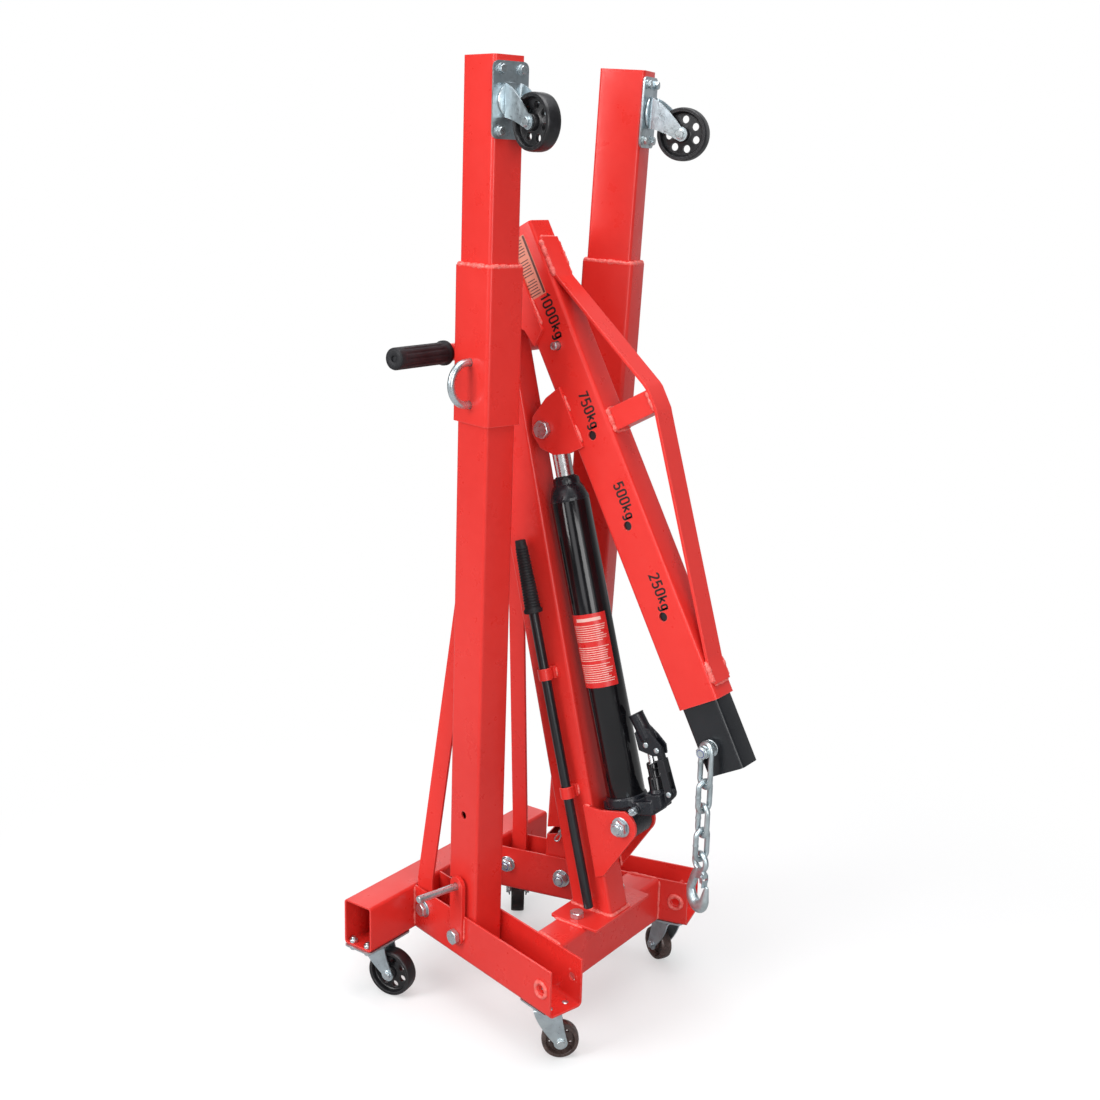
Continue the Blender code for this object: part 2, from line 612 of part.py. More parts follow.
def brace(side):
    """Flat bar from a channel to the mast."""
    rings = []
    for x, z, y in BRACE_STATIONS:
        rear, front = x - BRACE_HALF, x + BRACE_HALF
        outer, inner = side.sign * y, side.sign * (y - BRACE_THICK)
        rings.append([point(rear, outer, z), point(front, outer, z),
                      point(front, inner, z), point(rear, inner, z)])
    place(loft(rings), "brace_" + side.name, "base", RED_PAINT)


# ---------------------------------------------------------------- boom
# outlines: (along the boom, down from its top face)
BOOM_EAR = [(8, 46), (150, 46), (166, 69.5), (138, 76)] + arc(*BOOM_PIVOT_AT, 24, 40, 19, 8)
RAM_PLATE = [(236, 55), (241, 84), (257, 119), (279, 131),
             (304, 126), (322, 108), (330, 80), (330, 55)]
STRAP_THICK = 5.0
STRAP_OUTLINE = [
    # outer face, downwards along the boom
    (28, -GAP - STRAP_THICK), (91, -GAP - STRAP_THICK), (291, -74 - STRAP_THICK),
    (330, -74 - STRAP_THICK), (684, -GAP - STRAP_THICK), (715, -GAP - STRAP_THICK),
    # inner face, back again
    (715, -GAP), (683, -GAP), (329, -74), (293, -74), (93, -GAP), (28, -GAP)]


def boom():
    """Box tube, closed at its upper end, with ears at the mast and plates for the ram bolt."""
    half = BOOM_WIDTH / 2
    made = prism(BOOM_SECTION, rounded(0, BOOM_DEPTH, -half, half, 5), 0, BOOM_LENGTH)
    bore = rounded(WALL, BOOM_DEPTH - WALL, -half + WALL, half - WALL, 2, 1)
    cut(made, prism(BOOM_SECTION, bore, 4, BOOM_LENGTH + 5))
    for s in (-1, 1):
        inner, outer = s * (half - 0.35), s * (half + 5.65)
        for outline in (BOOM_EAR, RAM_PLATE):
            merge(made, prism(BOOM, outline, inner, outer))
    for x in BOOM_HOLES:
        cut(made, along_z(BOOM, x, BOOM_MID, -60, 60, BOOM_HOLE_RADIUS, 14))
    for x, y in (BOOM_PIVOT_AT, RAM_AT):
        cut(made, along_z(BOOM, x, y, -60, 60, BOOM_BOLT_HOLE, 16))
    place(made, "boom", "boom", RED_PAINT, 30)


def boom_truss():
    """Strap over the boom with its hollow strut, as one welded piece."""
    strap = prism(BOOM, STRAP_OUTLINE, -20, 20)
    strut = cut(box(BOOM, 294.5, 328, -75.5, -GAP, -17, 17),
                box(BOOM, 297.5, 325, -120, 20, -14, 14))
    place(merge(strap, strut), "boom_truss", "boom", RED_PAINT)


def boom_bolt(name, middle):
    """Bolt across the boom's ears or plates, head on the right, nut on the left."""
    right = -BOOM_WIDTH / 2 - BOOM_EAR_THICK - GAP
    left = -right + 18
    bolt = merge(across(middle, right - 5, left, BOOM_BOLT_RADIUS, 16),
                 across(middle, right - 10, right, BOOM_BOLT_HEX, 6),
                 across(middle, left - 17, left - 4, BOOM_BOLT_HEX, 6))
    place(bolt, name, "boom", ZINC)


def boom_extension():
    """Tube inside the boom; its slot takes the boom pin and is open to its inner end."""
    deep, wide = EXT_DEPTH / 2, EXT_WIDTH / 2
    start, end = EXT_START, BOOM_LENGTH + EXT_OUT
    outside = rounded(BOOM_MID - deep, BOOM_MID + deep, -wide, wide, 5)
    inside = rounded(BOOM_MID - deep + EXT_WALL, BOOM_MID + deep - EXT_WALL,
                     -wide + EXT_WALL, wide - EXT_WALL, 2, 1)
    slot_radius, slot_end = BOOM_PIN_RADIUS + 0.9, BOOM_HOLES[0] + 2
    made = cut(prism(BOOM_SECTION, outside, start, end),
               prism(BOOM_SECTION, inside, start - 5, end + 5),
               box(BOOM, start - 5, slot_end, BOOM_MID - slot_radius, BOOM_MID + slot_radius,
                   -60, 60),
               along_z(BOOM, slot_end, BOOM_MID, -60, 60, slot_radius, 20),
               across(CHAIN_BOLT, -60, 60, 5.4, 16))
    place(made, "boom_extension", "boom_extension", BLACK_SATIN, 30)


def boom_pin():
    """Plain pin, head on the left side."""
    frame = Frame(BOOM.at(BOOM_HOLES[0], BOOM_MID, BOOM_WIDTH / 2 + 10),
                  BOOM.x, BOOM.y, -BOOM.z)
    radius, head = BOOM_PIN_RADIUS, BOOM_WIDTH + 14
    profile = [(0, 0), (radius - 1, 0), (radius, 1.2), (radius, head),
               (11, head), (11, head + 6), (0, head + 6)]
    place(turned(frame, profile, 20), "boom_pin", "boom_pin", ZINC, 40)


def chain_bolt():
    """Head on the left; washer, then the chain, then the nut on the right."""
    left, right = EXT_WIDTH / 2 + GAP, -EXT_WIDTH / 2
    bolt = merge(across(CHAIN_BOLT, left + 3, right - 31, CHAIN_BOLT_RADIUS, 16),
                 across(CHAIN_BOLT, left, left + 7, CHAIN_BOLT_HEX, 6),
                 across(CHAIN_BOLT, right - GAP, right - GAP - 2, 12, 20),
                 across(CHAIN_BOLT, right - 20.0, right - 29.0, CHAIN_BOLT_HEX, 6))
    place(bolt, "chain_bolt", "boom_extension", ZINC)


# ---------------------------------------------------------------- chain and hook
def hanging_frame(origin, turn):
    """x level, at turn degrees about the vertical; y up; z level, square to x."""
    t = radians(turn)
    return Frame(origin, (cos(t), sin(t), 0), (0, 0, 1), (-sin(t), cos(t), 0))


def chain_link(top, turn, inner_length, inner_width):
    """A link whose top wire's centre is at top."""
    radius = inner_width / 2 + WIRE
    half_length = inner_length / 2 + WIRE
    half = half_length - radius
    path = arc(0, half, radius, 0, 36, 6) + arc(0, -half, radius, 180, 36, 6)
    frame = hanging_frame(top - Vector((0, 0, half_length * MM)), turn)
    return swept(frame, path, [WIRE] * len(path), 6, closed=True)


def chain():
    """Links hung on the chain bolt; returns the last link's name and its bottom wire."""
    parent = "boom_extension"
    bolt_x, bolt_z = CHAIN_BOLT_AT
    pivot = point(bolt_x, CHAIN_Y, bolt_z)
    top = point(bolt_x, CHAIN_Y, bolt_z + CHAIN_BOLT_RADIUS + WIRE_GAP + WIRE)
    for k, (length, width) in enumerate(LINK_SIZES):
        name = "chain_link_%d" % (k + 1)
        body(name, parent, pivot)
        turn = LINK_TWIST + (90 if k % 2 else 0)
        place(chain_link(top, turn, length, width), name, name, ZINC, 60)
        parent, pivot = name, top - Vector((0, 0, (length + 2 * WIRE) * MM))
        top = pivot + Vector((0, 0, (2 * WIRE + WIRE_GAP) * MM))
    return parent, pivot


EYE_IN, EYE_OUT = 8.4, 17.0
EYE_Y = -(EYE_IN - WIRE - WIRE_GAP)     # eye centre below the last link's wire
EYE_PROFILE = [   # (radius, height through the hook)
    (EYE_IN, -1.4), (EYE_IN + 2.4, -4.2), (EYE_OUT - 2.6, -4.4), (EYE_OUT, -2),
    (EYE_OUT, 2), (EYE_OUT - 2.6, 4.4), (EYE_IN + 2.4, 4.2), (EYE_IN, 1.4)]
BOWL = (-1.5, EYE_Y - 48.0)             # middle of the hook's bend
LATCH_PIN = (9.5, EYE_Y - 20.0)
LATCH_LUG = [
    (-5.0, EYE_Y - 13.0), (-5.5, EYE_Y - 27.0),
    (LATCH_PIN[0] - 1.0, LATCH_PIN[1] - 4.6), (LATCH_PIN[0] + 3.4, LATCH_PIN[1] - 3.2),
    (LATCH_PIN[0] + 4.6, LATCH_PIN[1]), (LATCH_PIN[0] + 4.2, LATCH_PIN[1] + 6.5),
    (6.0, EYE_Y - 12.6)]


def hook_bar():
    """Centre line (across, up) and radii of the shank and bend, thickest at the bottom."""
    path = [(-3.0, EYE_Y - EYE_IN - 5.0), (-9.5, EYE_Y - 24.0)]
    radii = [6.6, 7.4]
    for k in range(9):
        angle = 172 + 186.0 * k / 8
        t = radians(angle)
        path.append((BOWL[0] + 16.5 * cos(t), BOWL[1] + 22.5 * sin(t)))
        thicker = 4.2 * max(0.0, sin(radians(angle - 180)))
        radii.append(6.6 + thicker + (0.9 if k < 3 else 0.0))
    path += [(BOWL[0] + 18.5, BOWL[1] + 10.0), (BOWL[0] + 20.0, BOWL[1] + 15.0)]
    return path, radii + [4.6, 2.6]


def hook(frame):
    """An eye, a shank and a round hook in one flat forging, with a lug for the latch."""
    path, radii = hook_bar()
    eye = ring_turned(frame.shifted(0, EYE_Y, 0), EYE_PROFILE, 18)
    made = merge(swept(frame, path, radii, 8, flat=0.70), eye,
                 prism(frame, LATCH_LUG, -4.05, 4.05))
    cut(made, along_z(frame, *LATCH_PIN, -30, 30, 1.75, 12))
    place(made, "hook", "hook", ZINC, 50)


def hook_latch(hook_frame):
    """Pin, two cheeks and a tongue that closes the hook's mouth."""
    origin = hook_frame.at(*LATCH_PIN, 0)
    body("hook_latch", "hook", origin)
    dx = BOWL[0] + 12.6 - LATCH_PIN[0]
    dy = BOWL[1] + 11.0 - LATCH_PIN[1]
    length = hypot(dx, dy)
    # x along the latch from its pin, z through the hook
    frame = Frame(origin, hook_frame.x * (dx / length) + hook_frame.y * (dy / length),
                  hook_frame.x * (-dy / length) + hook_frame.y * (dx / length), hook_frame.z)
    cheek = arc(0, 0, 4.0, 110, 35, 5) + [(9.5, -3.0), (9.5, 2.8), (5.0, 3.9)]
    tongue = [(6.4, 1.0), (length - 0.5, 0.2), (length - 0.5, 1.5), (6.4, 2.4)]
    made = merge(along_z(frame, 0, 0, -5.2, 5.2, 1.4, 12),
                 *[prism(frame, cheek, s * 4.5, s * 5.7) for s in (-1, 1)],
                 prism(frame, tongue, -5.2, 5.2))
    place(made, "hook_latch", "hook_latch", ZINC)


# ---------------------------------------------------------------- jack
# (radius, height up the jack)
CYLINDER_PROFILE = [
    (0, 44), (CYLINDER_RADIUS, 44), (CYLINDER_RADIUS, 500), (CYLINDER_RADIUS - 2, 506),
    (22.5, 520), (19.5, 522), (19.5, 531), (17.5, 533),
    (ROD_RADIUS + 0.7, 533), (ROD_RADIUS + 0.7, 52), (0, 52)]
PUMP_PROFILE = [(0, 30), (11, 30), (11, 70), (8.6, 72), (8.6, 92), (5.0, 92), (5.2, 40), (0, 40)]
PUMP_BORE = [(0, 40), (4.9, 40), (5.0, 120), (0, 120)]
PISTON_PROFILE = [(0, 56), (4.2, 56), (4.2, 124), (3.2, 126), (0, 126)]
VALVE_PROFILE = [(0, 0), (4.0, 0), (4.0, 15.4), (6.0, 15.4), (6.0, 24), (5, 25), (0, 25)]
# (forward, up the jack)
LUG_OUTLINE = ([(65, 26), (74, 28)] + arc(*JACK_LUG, 8, -50, 28, 8) + [(66, 45.2), (65, 45.2)])
LEVER_CHEEK = [
    (PUMP_X - 14, 113), (PUMP_X + 10, 103), (LEVER_LINK_PIN[0] + 8, 104),
    (LEVER_LINK_PIN[0] + 9, 118), (PUMP_X + 16, 134), (PUMP_X + 2, 150), (PUMP_X - 16, 140)]
LEVER_BRIDGE = [(PUMP_X - 12, 132), (PUMP_X + 14, 128), (PUMP_X + 8, 144), (PUMP_X - 10, 146)]


def jack_rod():
    """Rod with its eye on the ram bolt."""
    profile = [(JACK_PIVOT_HOLE, -19), (17, -19), (17, 19), (JACK_PIVOT_HOLE, 19)]
    eye = ring_turned(Frame(RAM, JACK.x, JACK.z, JACK.y), profile, 16)
    rod = along_z(JACK, 0, 0, JACK_LENGTH - 12, 62, ROD_RADIUS, 16)
    place(merge(rod, eye), "jack_rod", "jack_rod", CHROME, 40)


def jack_body():
    """Cylinder with shoulder and neck, base casting, foot hub and pump cylinder."""
    pump_frame = JACK.shifted(PUMP_X, 0, 0)
    made = merge(turned(JACK, CYLINDER_PROFILE, 20),
                 prism(JACK, rounded(-33, 58, -22.5, 22.5, 8), 16, 49),   # block
                 prism(JACK, rounded(40, 72, -17, 17, 8), 24, 46),        # front of the block
                 along_y(JACK, 0, 0, -22.5, 22.5, 24.0, 18),              # foot hub
                 box(JACK, -20, 20, -21, 21, 2, 20))                      # web
    cut(made, along_y(JACK, 0, 0, -40, 40, JACK_PIVOT_HOLE, 14))
    merge(made, turned(pump_frame, PUMP_PROFILE, 14))
    cut(made, turned(pump_frame, PUMP_BORE, 12))
    # lug in front for the link
    merge(made, prism(JACK_SIDE, LUG_OUTLINE, -4, 4))
    cut(made, along_y(JACK, *JACK_LUG, -20, 20, LINK_HOLE_RADIUS, 14))
    # valve boss at the right side
    merge(made, along_y(JACK, *VALVE_AT, -20, -28, 8.0, 14))
    cut(made, along_y(JACK, *VALVE_AT, -12, -40, 4.4, 12))
    place(made, "jack_body", "jack_body", BLACK_GLOSS, 35)


def release_valve():
    """A turning spindle with a slotted end."""
    forward, up = VALVE_AT
    body("release_valve", "jack_body", JACK.at(forward, -20, up))
    frame = Frame(JACK.at(forward, -13, up), JACK.x, JACK.z, -JACK.y)
    valve = cut(turned(frame, VALVE_PROFILE, 12), box(frame, -10, 10, -1.1, 1.1, 21, 30))
    place(valve, "release_valve", "release_valve", ZINC, 40)


def pump_piston():
    body("pump_piston", "jack_body", JACK.at(PUMP_X, 0, 56))
    piston = cut(turned(JACK.shifted(PUMP_X, 0, 0), PISTON_PROFILE, 12),
                 along_y(JACK, PUMP_X, PUMP_PIN_UP, -10, 10, 2.0, 12))
    place(piston, "pump_piston", "pump_piston", CHROME, 40)


def pump_lever():
    """Two cheeks, a bridge between them and the socket for the pump handle."""
    body("pump_lever", "pump_link", JACK.at(LEVER_LINK_PIN[0], 0, LEVER_LINK_PIN[1]))
    lean = Vector((-0.34, 0.94)).normalized()    # (forward, up the jack)
    frame = Frame(JACK_SIDE.at(PUMP_X + 1.5, 128.5, 0),
                  JACK_SIDE.x * lean.y - JACK_SIDE.y * lean.x, JACK_SIDE.z,
                  JACK_SIDE.x * lean.x + JACK_SIDE.y * lean.y)
    lever = merge(turned(frame, [(0, 0), (11.5, 0), (11.5, 42), (0, 42)], 16),
                  prism(JACK_SIDE, LEVER_BRIDGE, -8.0, 8.0),
                  *[prism(JACK_SIDE, LEVER_CHEEK, s * 5.4, s * 8.4) for s in (-1, 1)])
    cut(lever, turned(frame, [(0, 6), (9.0, 6), (9.0, 60), (0, 60)], 16))
    # a stub pin through each cheek, on the line of the piston's pin hole
    for z0, z1 in ((-10, -5), (5, 10)):
        merge(lever, along_z(JACK_SIDE, PUMP_X, PUMP_PIN_UP, z0, z1, 3.0, 12))
    cut(lever, along_z(JACK_SIDE, *LEVER_LINK_PIN, -20, 20, LINK_HOLE_RADIUS, 14))
    place(lever, "pump_lever", "pump_lever", BLACK_SATIN, 35)


def pump_link():
    """A fork over the jack's lug, with a tongue between the lever's cheeks."""
    body("pump_link", "jack_body", JACK.at(JACK_LUG[0], 0, JACK_LUG[1]))
    direction = Vector((LEVER_LINK_PIN[0] - JACK_LUG[0], LEVER_LINK_PIN[1] - JACK_LUG[1]))
    length = direction.length
    direction.normalize()
    # x along the link from the lug's pin, z to the right
    frame = Frame(JACK_SIDE.at(*JACK_LUG, 0),
                  JACK_SIDE.x * direction.x + JACK_SIDE.y * direction.y,
                  JACK_SIDE.x * -direction.y + JACK_SIDE.y * direction.x, JACK_SIDE.z)
    plate = arc(0, 0, 5.5, 90, 30, 7) + [(length * 0.78, -5.5), (length * 0.78, 5.5)]
    tongue = ([(length * 0.52, -5.0)] + arc(length, 0, 5.0, -90, 30, 7)
              + [(length * 0.52, 5.0)])
    made = merge(box(frame, length * 0.47, length * 0.75, -6.0, 6.0, -6.7, 6.7),
                 prism(frame, tongue, -4.2, 4.2),
                 *[prism(frame, plate, s * 4.6, s * 7.4) for s in (-1, 1)],
                 along_z(frame, 0, 0, -9, 9, LINK_PIN_RADIUS, 12),
                 along_z(frame, length, 0, -10, 10, LINK_PIN_RADIUS, 12))
    place(made, "pump_link", "pump_link", BLACK_SATIN)


def pump_handle():
    """Handle held in the mast's clips, with a collar and a thicker upper end."""
    body("pump_handle", "base", PUMP_HANDLE.origin)
    length = (PUMP_HANDLE_Z[1] - PUMP_HANDLE_Z[0]) / HANDLE_UP.z
    radius = PUMP_HANDLE_RADIUS
    profile = [(0, 0), (radius, 0), (radius, length - 112), (14.5, length - 112),
               (14.5, length - 106), (11.5, length - 104), (11.5, length - 2),
               (9.5, length), (0, length)]
    place(turned(PUMP_HANDLE, profile, 16), "pump_handle", "pump_handle", BLACK_SATIN, 40)


# ---------------------------------------------------------------- casters
# wheel radius, wheel width, distance of the axle behind the swivel, material
LARGE_WHEEL = (38.0, 24.0, 27.5, CAST_IRON)
SMALL_WHEEL = (28.0, 20.0, 21.0, BROWN_WHEEL)
# the way each wheel under the base trails
TRAILS = {"rear_right": (0.98, 0.17, 0), "rear_left": (0.6, -0.8, 0),
          "front_right": (0.77, 0.64, 0), "front_left": (-0.9, 0.42, 0)}
FORK_TOP = 7.4            # thickness of swivel and fork top, from the mounting face
FORK_HALF = 19.5          # half length of the fork's top


def caster_plate(tag, parent, frame, swivel, length, width):
    plate = prism(frame, rounded(-length / 2, length / 2, -width / 2, width / 2, 8),
                  GAP, GAP + 2.7)
    merge(plate, along_z(swivel, 0, 0, 1.5, 6.9, 6.0, 12))
    place(plate, "caster_plate_" + tag, parent, ZINC, 40)


def caster_fork(name, swivel, axle, wheel_width):
    """Swivel race, fork top, two arms and the axle."""
    inner = wheel_width / 2 + 1.4
    outer = inner + 2.4
    race_profile = [(6.4, 3.3), (16, 3.3), (22.5, 5.6), (22.5, FORK_TOP - 0.4),
                    (6.4, FORK_TOP - 0.4)]
    fork = ring_turned(swivel, race_profile, 16)
    half_length, half_width = FORK_HALF - 0.5, outer - 0.4
    top = cut(box(swivel, -half_length, half_length, -half_width, half_width, 4.6, FORK_TOP),
              along_z(swivel, 0, 0, 0, 20, 10.5, 12))
    arm_outline = [(-FORK_HALF, 5.2), (FORK_HALF, 5.2)] + arc(*axle, 8.5, -10, 45, 5)
    arm_frame = Frame(swivel.origin, swivel.x, swivel.z, swivel.y)
    merge(fork, top,
          *[prism(arm_frame, arm_outline, s * inner, s * outer) for s in (-1, 1)],
          along_y(swivel, *axle, -outer - 3, outer + 3, 4.0, 10))
    place(fork, name, name, ZINC, 35)


def caster_wheel(name, frame, radius, width, mat):
    """Hub, thin disc and thick tread about the frame's z."""
    half, disc = width / 2, 3.5
    profile = [   # (radius, height)
        (4.6, -half), (10.5, -half), (10.5, -disc), (radius - 8, -disc),
        (radius - 7, -half + 0.5), (radius - 1, -half + 0.5), (radius, -half + 2),
        (radius, half - 2), (radius - 1, half - 0.5), (radius - 7, half - 0.5),
        (radius - 8, disc), (10.5, disc), (10.5, half), (4.6, half)]
    place(ring_turned(frame, profile, 16), name, name, mat, 40)


def caster(tag, parent, top, down, trail, forward, plate_size, height, wheel):
    """Plate, fork and wheel.

    top: middle of the plate's mounting side; down: away from the mounting face; trail: the
    way the wheel trails; forward: the way the plate's length runs.
    """
    down, trail, forward = (Vector(v).normalized() for v in (down, trail, forward))
    plate_frame = Frame(top, forward, down.cross(forward), down)
    swivel = Frame(top, trail, down.cross(trail), down)
    radius, width, offset, mat = wheel
    axle = (offset, height - radius)
    hub = swivel.at(axle[0], 0, axle[1])
    fork_name, wheel_name = "caster_fork_" + tag, "caster_wheel_" + tag
    caster_plate(tag, parent, plate_frame, swivel, *plate_size)
    body(fork_name, parent, swivel.at(0, 0, 0))
    caster_fork(fork_name, swivel, axle, width)
    body(wheel_name, fork_name, hub)
    wheel_frame = Frame(hub, swivel.x, swivel.z, swivel.y)
    caster_wheel(wheel_name, wheel_frame, radius, width, mat)


def casters(side):
    # under the end of the rear cross tube
    tag = "rear_" + side.name
    caster(tag, "base", point(-REAR_DEPTH / 2, side.sign * 186.0, 0), (0, 0, -1), TRAILS[tag],
           forward=(0, 1, 0), plate_size=(100, 56), height=BASE_HEIGHT, wheel=LARGE_WHEEL)
    # under the front end of the channel
    tag = "front_" + side.name
    caster(tag, "base", side.channel.at(296, CHANNEL_WIDTH / 2, 0), (0, 0, -1), TRAILS[tag],
           forward=side.along, plate_size=(68, 56), height=BASE_HEIGHT, wheel=SMALL_WHEEL)
    # on the front face of the leg extension, near its end
    frame = side.leg
    caster("leg_" + side.name, "leg_extension_" + side.name,
           frame.at(LEG_DEPTH / 2, 0, TIP_Z - PIVOT_UP - 58), frame.x, frame.z * -1.0,
           forward=frame.z, plate_size=(100, 60),
           height=BASE_HEIGHT + PIVOT_UP - LEG_DEPTH / 2, wheel=LARGE_WHEEL)


# ---------------------------------------------------------------- build
body("base", None, (0, 0, 0))
body("boom", "base", BOOM_PIVOT)
body("boom_extension", "boom", BOOM.at(BOOM_LENGTH, BOOM_MID, 0))
body("boom_pin", "boom", BOOM.at(BOOM_HOLES[0], BOOM_MID, 0))
body("jack_rod", "boom", RAM)
body("jack_body", "jack_rod", FOOT)

rear_cross_tube()
front_cross_tube()
for each_side in SIDES:
    body("leg_" + each_side.name, "base", each_side.pivot)
    for build in (channel, leg_pivot_bolt, leg, leg_extension, d_pin, lock_pin, brace, casters):
        build(each_side)

mast()
push_handle()

boom()
boom_truss()
boom_bolt("boom_pivot_bolt", BOOM_PIVOT)
boom_bolt("ram_bolt", RAM)
boom_extension()
boom_pin()
chain_bolt()

last_link, last_wire = chain()
HOOK = hanging_frame(last_wire, LINK_TWIST)
body("hook", last_link, last_wire)
hook(HOOK)
hook_latch(HOOK)

jack_rod()
jack_body()
release_valve()
pump_piston()
pump_link()
pump_lever()
pump_handle()
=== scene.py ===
# A folding engine hoist crane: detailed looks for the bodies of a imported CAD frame.
# +X points forward along the crane, +Y to its left and +Z up. The two base legs are folded
# upright. Lengths are in millimetres unless a name or comment says metres.
import json
from collections import namedtuple
from math import atan, cos, exp, hypot, pi, radians as rad, sin, sqrt

import bmesh
import bpy
from mathutils import Matrix, Vector

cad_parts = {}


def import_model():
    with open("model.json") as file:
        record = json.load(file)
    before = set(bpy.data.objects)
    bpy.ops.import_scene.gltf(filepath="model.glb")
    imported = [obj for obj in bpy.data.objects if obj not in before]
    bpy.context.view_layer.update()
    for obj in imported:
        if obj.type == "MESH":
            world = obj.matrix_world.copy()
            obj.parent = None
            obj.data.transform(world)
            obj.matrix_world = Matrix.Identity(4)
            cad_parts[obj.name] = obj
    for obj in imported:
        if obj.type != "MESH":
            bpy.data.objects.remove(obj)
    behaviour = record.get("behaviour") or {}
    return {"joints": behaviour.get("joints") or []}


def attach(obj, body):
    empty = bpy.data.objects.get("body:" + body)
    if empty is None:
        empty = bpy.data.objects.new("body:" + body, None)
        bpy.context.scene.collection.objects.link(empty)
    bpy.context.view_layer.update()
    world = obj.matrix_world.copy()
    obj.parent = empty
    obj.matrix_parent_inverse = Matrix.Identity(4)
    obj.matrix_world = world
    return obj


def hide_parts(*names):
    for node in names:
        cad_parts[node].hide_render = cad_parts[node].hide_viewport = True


JOINTS = {joint["name"]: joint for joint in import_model()["joints"]}
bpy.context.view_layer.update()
SCENE = bpy.context.scene.collection
MM = 0.001
UP, LEFT, RIGHT = Vector((0, 0, 1)), Vector((0, 1, 0)), Vector((0, -1, 0))
FORWARD = Vector((1, 0, 0))
BOTH = (-1, 1)

# ---------------------------------------------------------------- dimensions
# square tubes
WALL, CORNER_R, BORE_CORNER_R = 3.0, 5.5, 2.8
GAP = 0.3  # clearance between neighbouring parts
# cross tubes of the base; x runs from the rear tube's front face
CROSS_H, REAR_D, REAR_HALF = 76.0, 56.0, 232.0
FRONT_X0, FRONT_X1 = 240.0, 296.0
# splayed channels, which the legs pivot in
SPLAY, CHANNEL_Y, CHANNEL_W, CHANNEL_L = 13.83, 129.0, 62.5, 338.0
PIVOT_ALONG, PIVOT_Z = 118.0, 40.0
LOCK_UP, LOCK_ALONG, LOCK_R = 84.0, 200.0, 5.6  # lock holes above and ahead of the pivot
BOLT_R, HOLE_R = 7.0, 7.4
EAR_HALF, EAR_T = 15.0, 6.0
# legs and their extensions; heights are above the base's underside
LEG_D, LEG_W, LEG_TOP = 70.0, 52.0, 1050.0
LEG_LEAN = {-1: 0.7, 1: 2.4}  # degrees, forward
SLEEVE_Z0, SLEEVE_Z1, TIP_Z = 842.0, 1061.0, 1338.0
D_PIN_Z, D_PIN_R = (869.0, 929.0), 5.5
# mast: its front face starts at the foot and slopes back
MAST_D, MAST_W, MAST_FOOT_X, MAST_FOOT_Z, MAST_SLOPE = 72.0, 48.6, 308.3, 82.6, 0.2477
MAST_TOP_Z, FOOT_T = 1013.8, 4.0
PUSH_X, PUSH_Z, PUSH_HALF = 52.0, 933.0, 237.0
# boom: places run along it from its rear end, and down from its upper face
BOOM_L, BOOM_D, BOOM_W = 735.0, 70.0, 50.0
BOOM_HOLES, BOOM_HOLE_R, BOOM_PIN_R = (180.0, 320.0, 460.0, 600.0), 6.9, 6.0
PIVOT_S, PIVOT_DOWN, RAM_S, RAM_DOWN = 55.7, 124.0, 281.0, 107.5
PLATE_GAP, PLATE_OUT = 0.05, 5.65  # faces of the boom's side plates, out from the boom
EXT_W, EXT_D, EXT_OUT, EXT_IN, EXT_WALL = 43.0, 63.0, 104.0, 150.0, 4.0
# jack
JACK_FOOT_X, JACK_FOOT_Z = 323.0, 236.0
ROD_R, CYL_R = 13.5, 29.5
# chain
LINK_WIRE, LINK_GAP, LINK_TWIST = 4.0, 0.8, -22.0  # wire radius, play, degrees
LINK_SIZES = ((57.5, 15.0), (38.5, 12.6), (38.5, 12.6), (38.5, 12.6))  # inner length, width
CHAIN_X, CHAIN_Y, CHAIN_Z = 463.8, -32.6, 397.5


# ---------------------------------------------------------------- frames
class Frame:
    """An origin in metres with three unit axes."""

    def __init__(self, origin, x, y, z):
        self.origin = Vector(origin)
        self.x, self.y, self.z = (Vector(axis).normalized() for axis in (x, y, z))

    def at(self, a, b, c):
        return self.origin + self.x * a * MM + self.y * b * MM + self.z * c * MM


def joint_at(name):
    return Vector(JOINTS[name]["pos_m"])


def joint_axis(name):
    return Vector(JOINTS[name]["axis"]).normalized()


def aside(point, y):
    """The point moved to the left by y."""
    return point + Vector((0, y, 0)) * MM


# the base's own origin, found from the right leg's pivot
SPLAY_SIN, SPLAY_COS = sin(rad(SPLAY)), cos(rad(SPLAY))
_right_pivot = (Vector((0, -CHANNEL_Y, 0))
                + Vector((SPLAY_COS, -SPLAY_SIN, 0)) * PIVOT_ALONG
                + Vector((SPLAY_SIN, SPLAY_COS, 0)) * CHANNEL_W / 2
                + Vector((0, 0, PIVOT_Z)))
BASE_ORIGIN = joint_at("leg_fold_right") - _right_pivot * MM
BASE_HEIGHT = BASE_ORIGIN.z / MM


def base_at(x, y, z):
    return BASE_ORIGIN + Vector((x, y, z)) * MM


class Side:
    """One side of the crane: frames of its channel (along, inward, up) and leg."""

    def __init__(self, sign):
        self.sign = sign
        self.name = "right" if sign < 0 else "left"
        self.along = Vector((SPLAY_COS, sign * SPLAY_SIN, 0))
        self.inward = Vector((SPLAY_SIN, -sign * SPLAY_COS, 0))
        self.base = Frame(base_at(0, sign * CHANNEL_Y, 0), self.along, self.inward, UP)
        self.lean = LEG_LEAN[sign]
        lean = rad(self.lean)
        up = UP * cos(lean) + self.along * sin(lean)
        fore = self.along * cos(lean) - UP * sin(lean)
        self.leg = Frame(joint_at("leg_fold_" + self.name), fore, self.inward, up)


SIDES = [Side(-1), Side(1)]
SIDE_VIEW = Frame(base_at(0, 0, 0), FORWARD, UP, RIGHT)
PLAN = Frame(base_at(0, 0, 0), FORWARD, LEFT, UP)

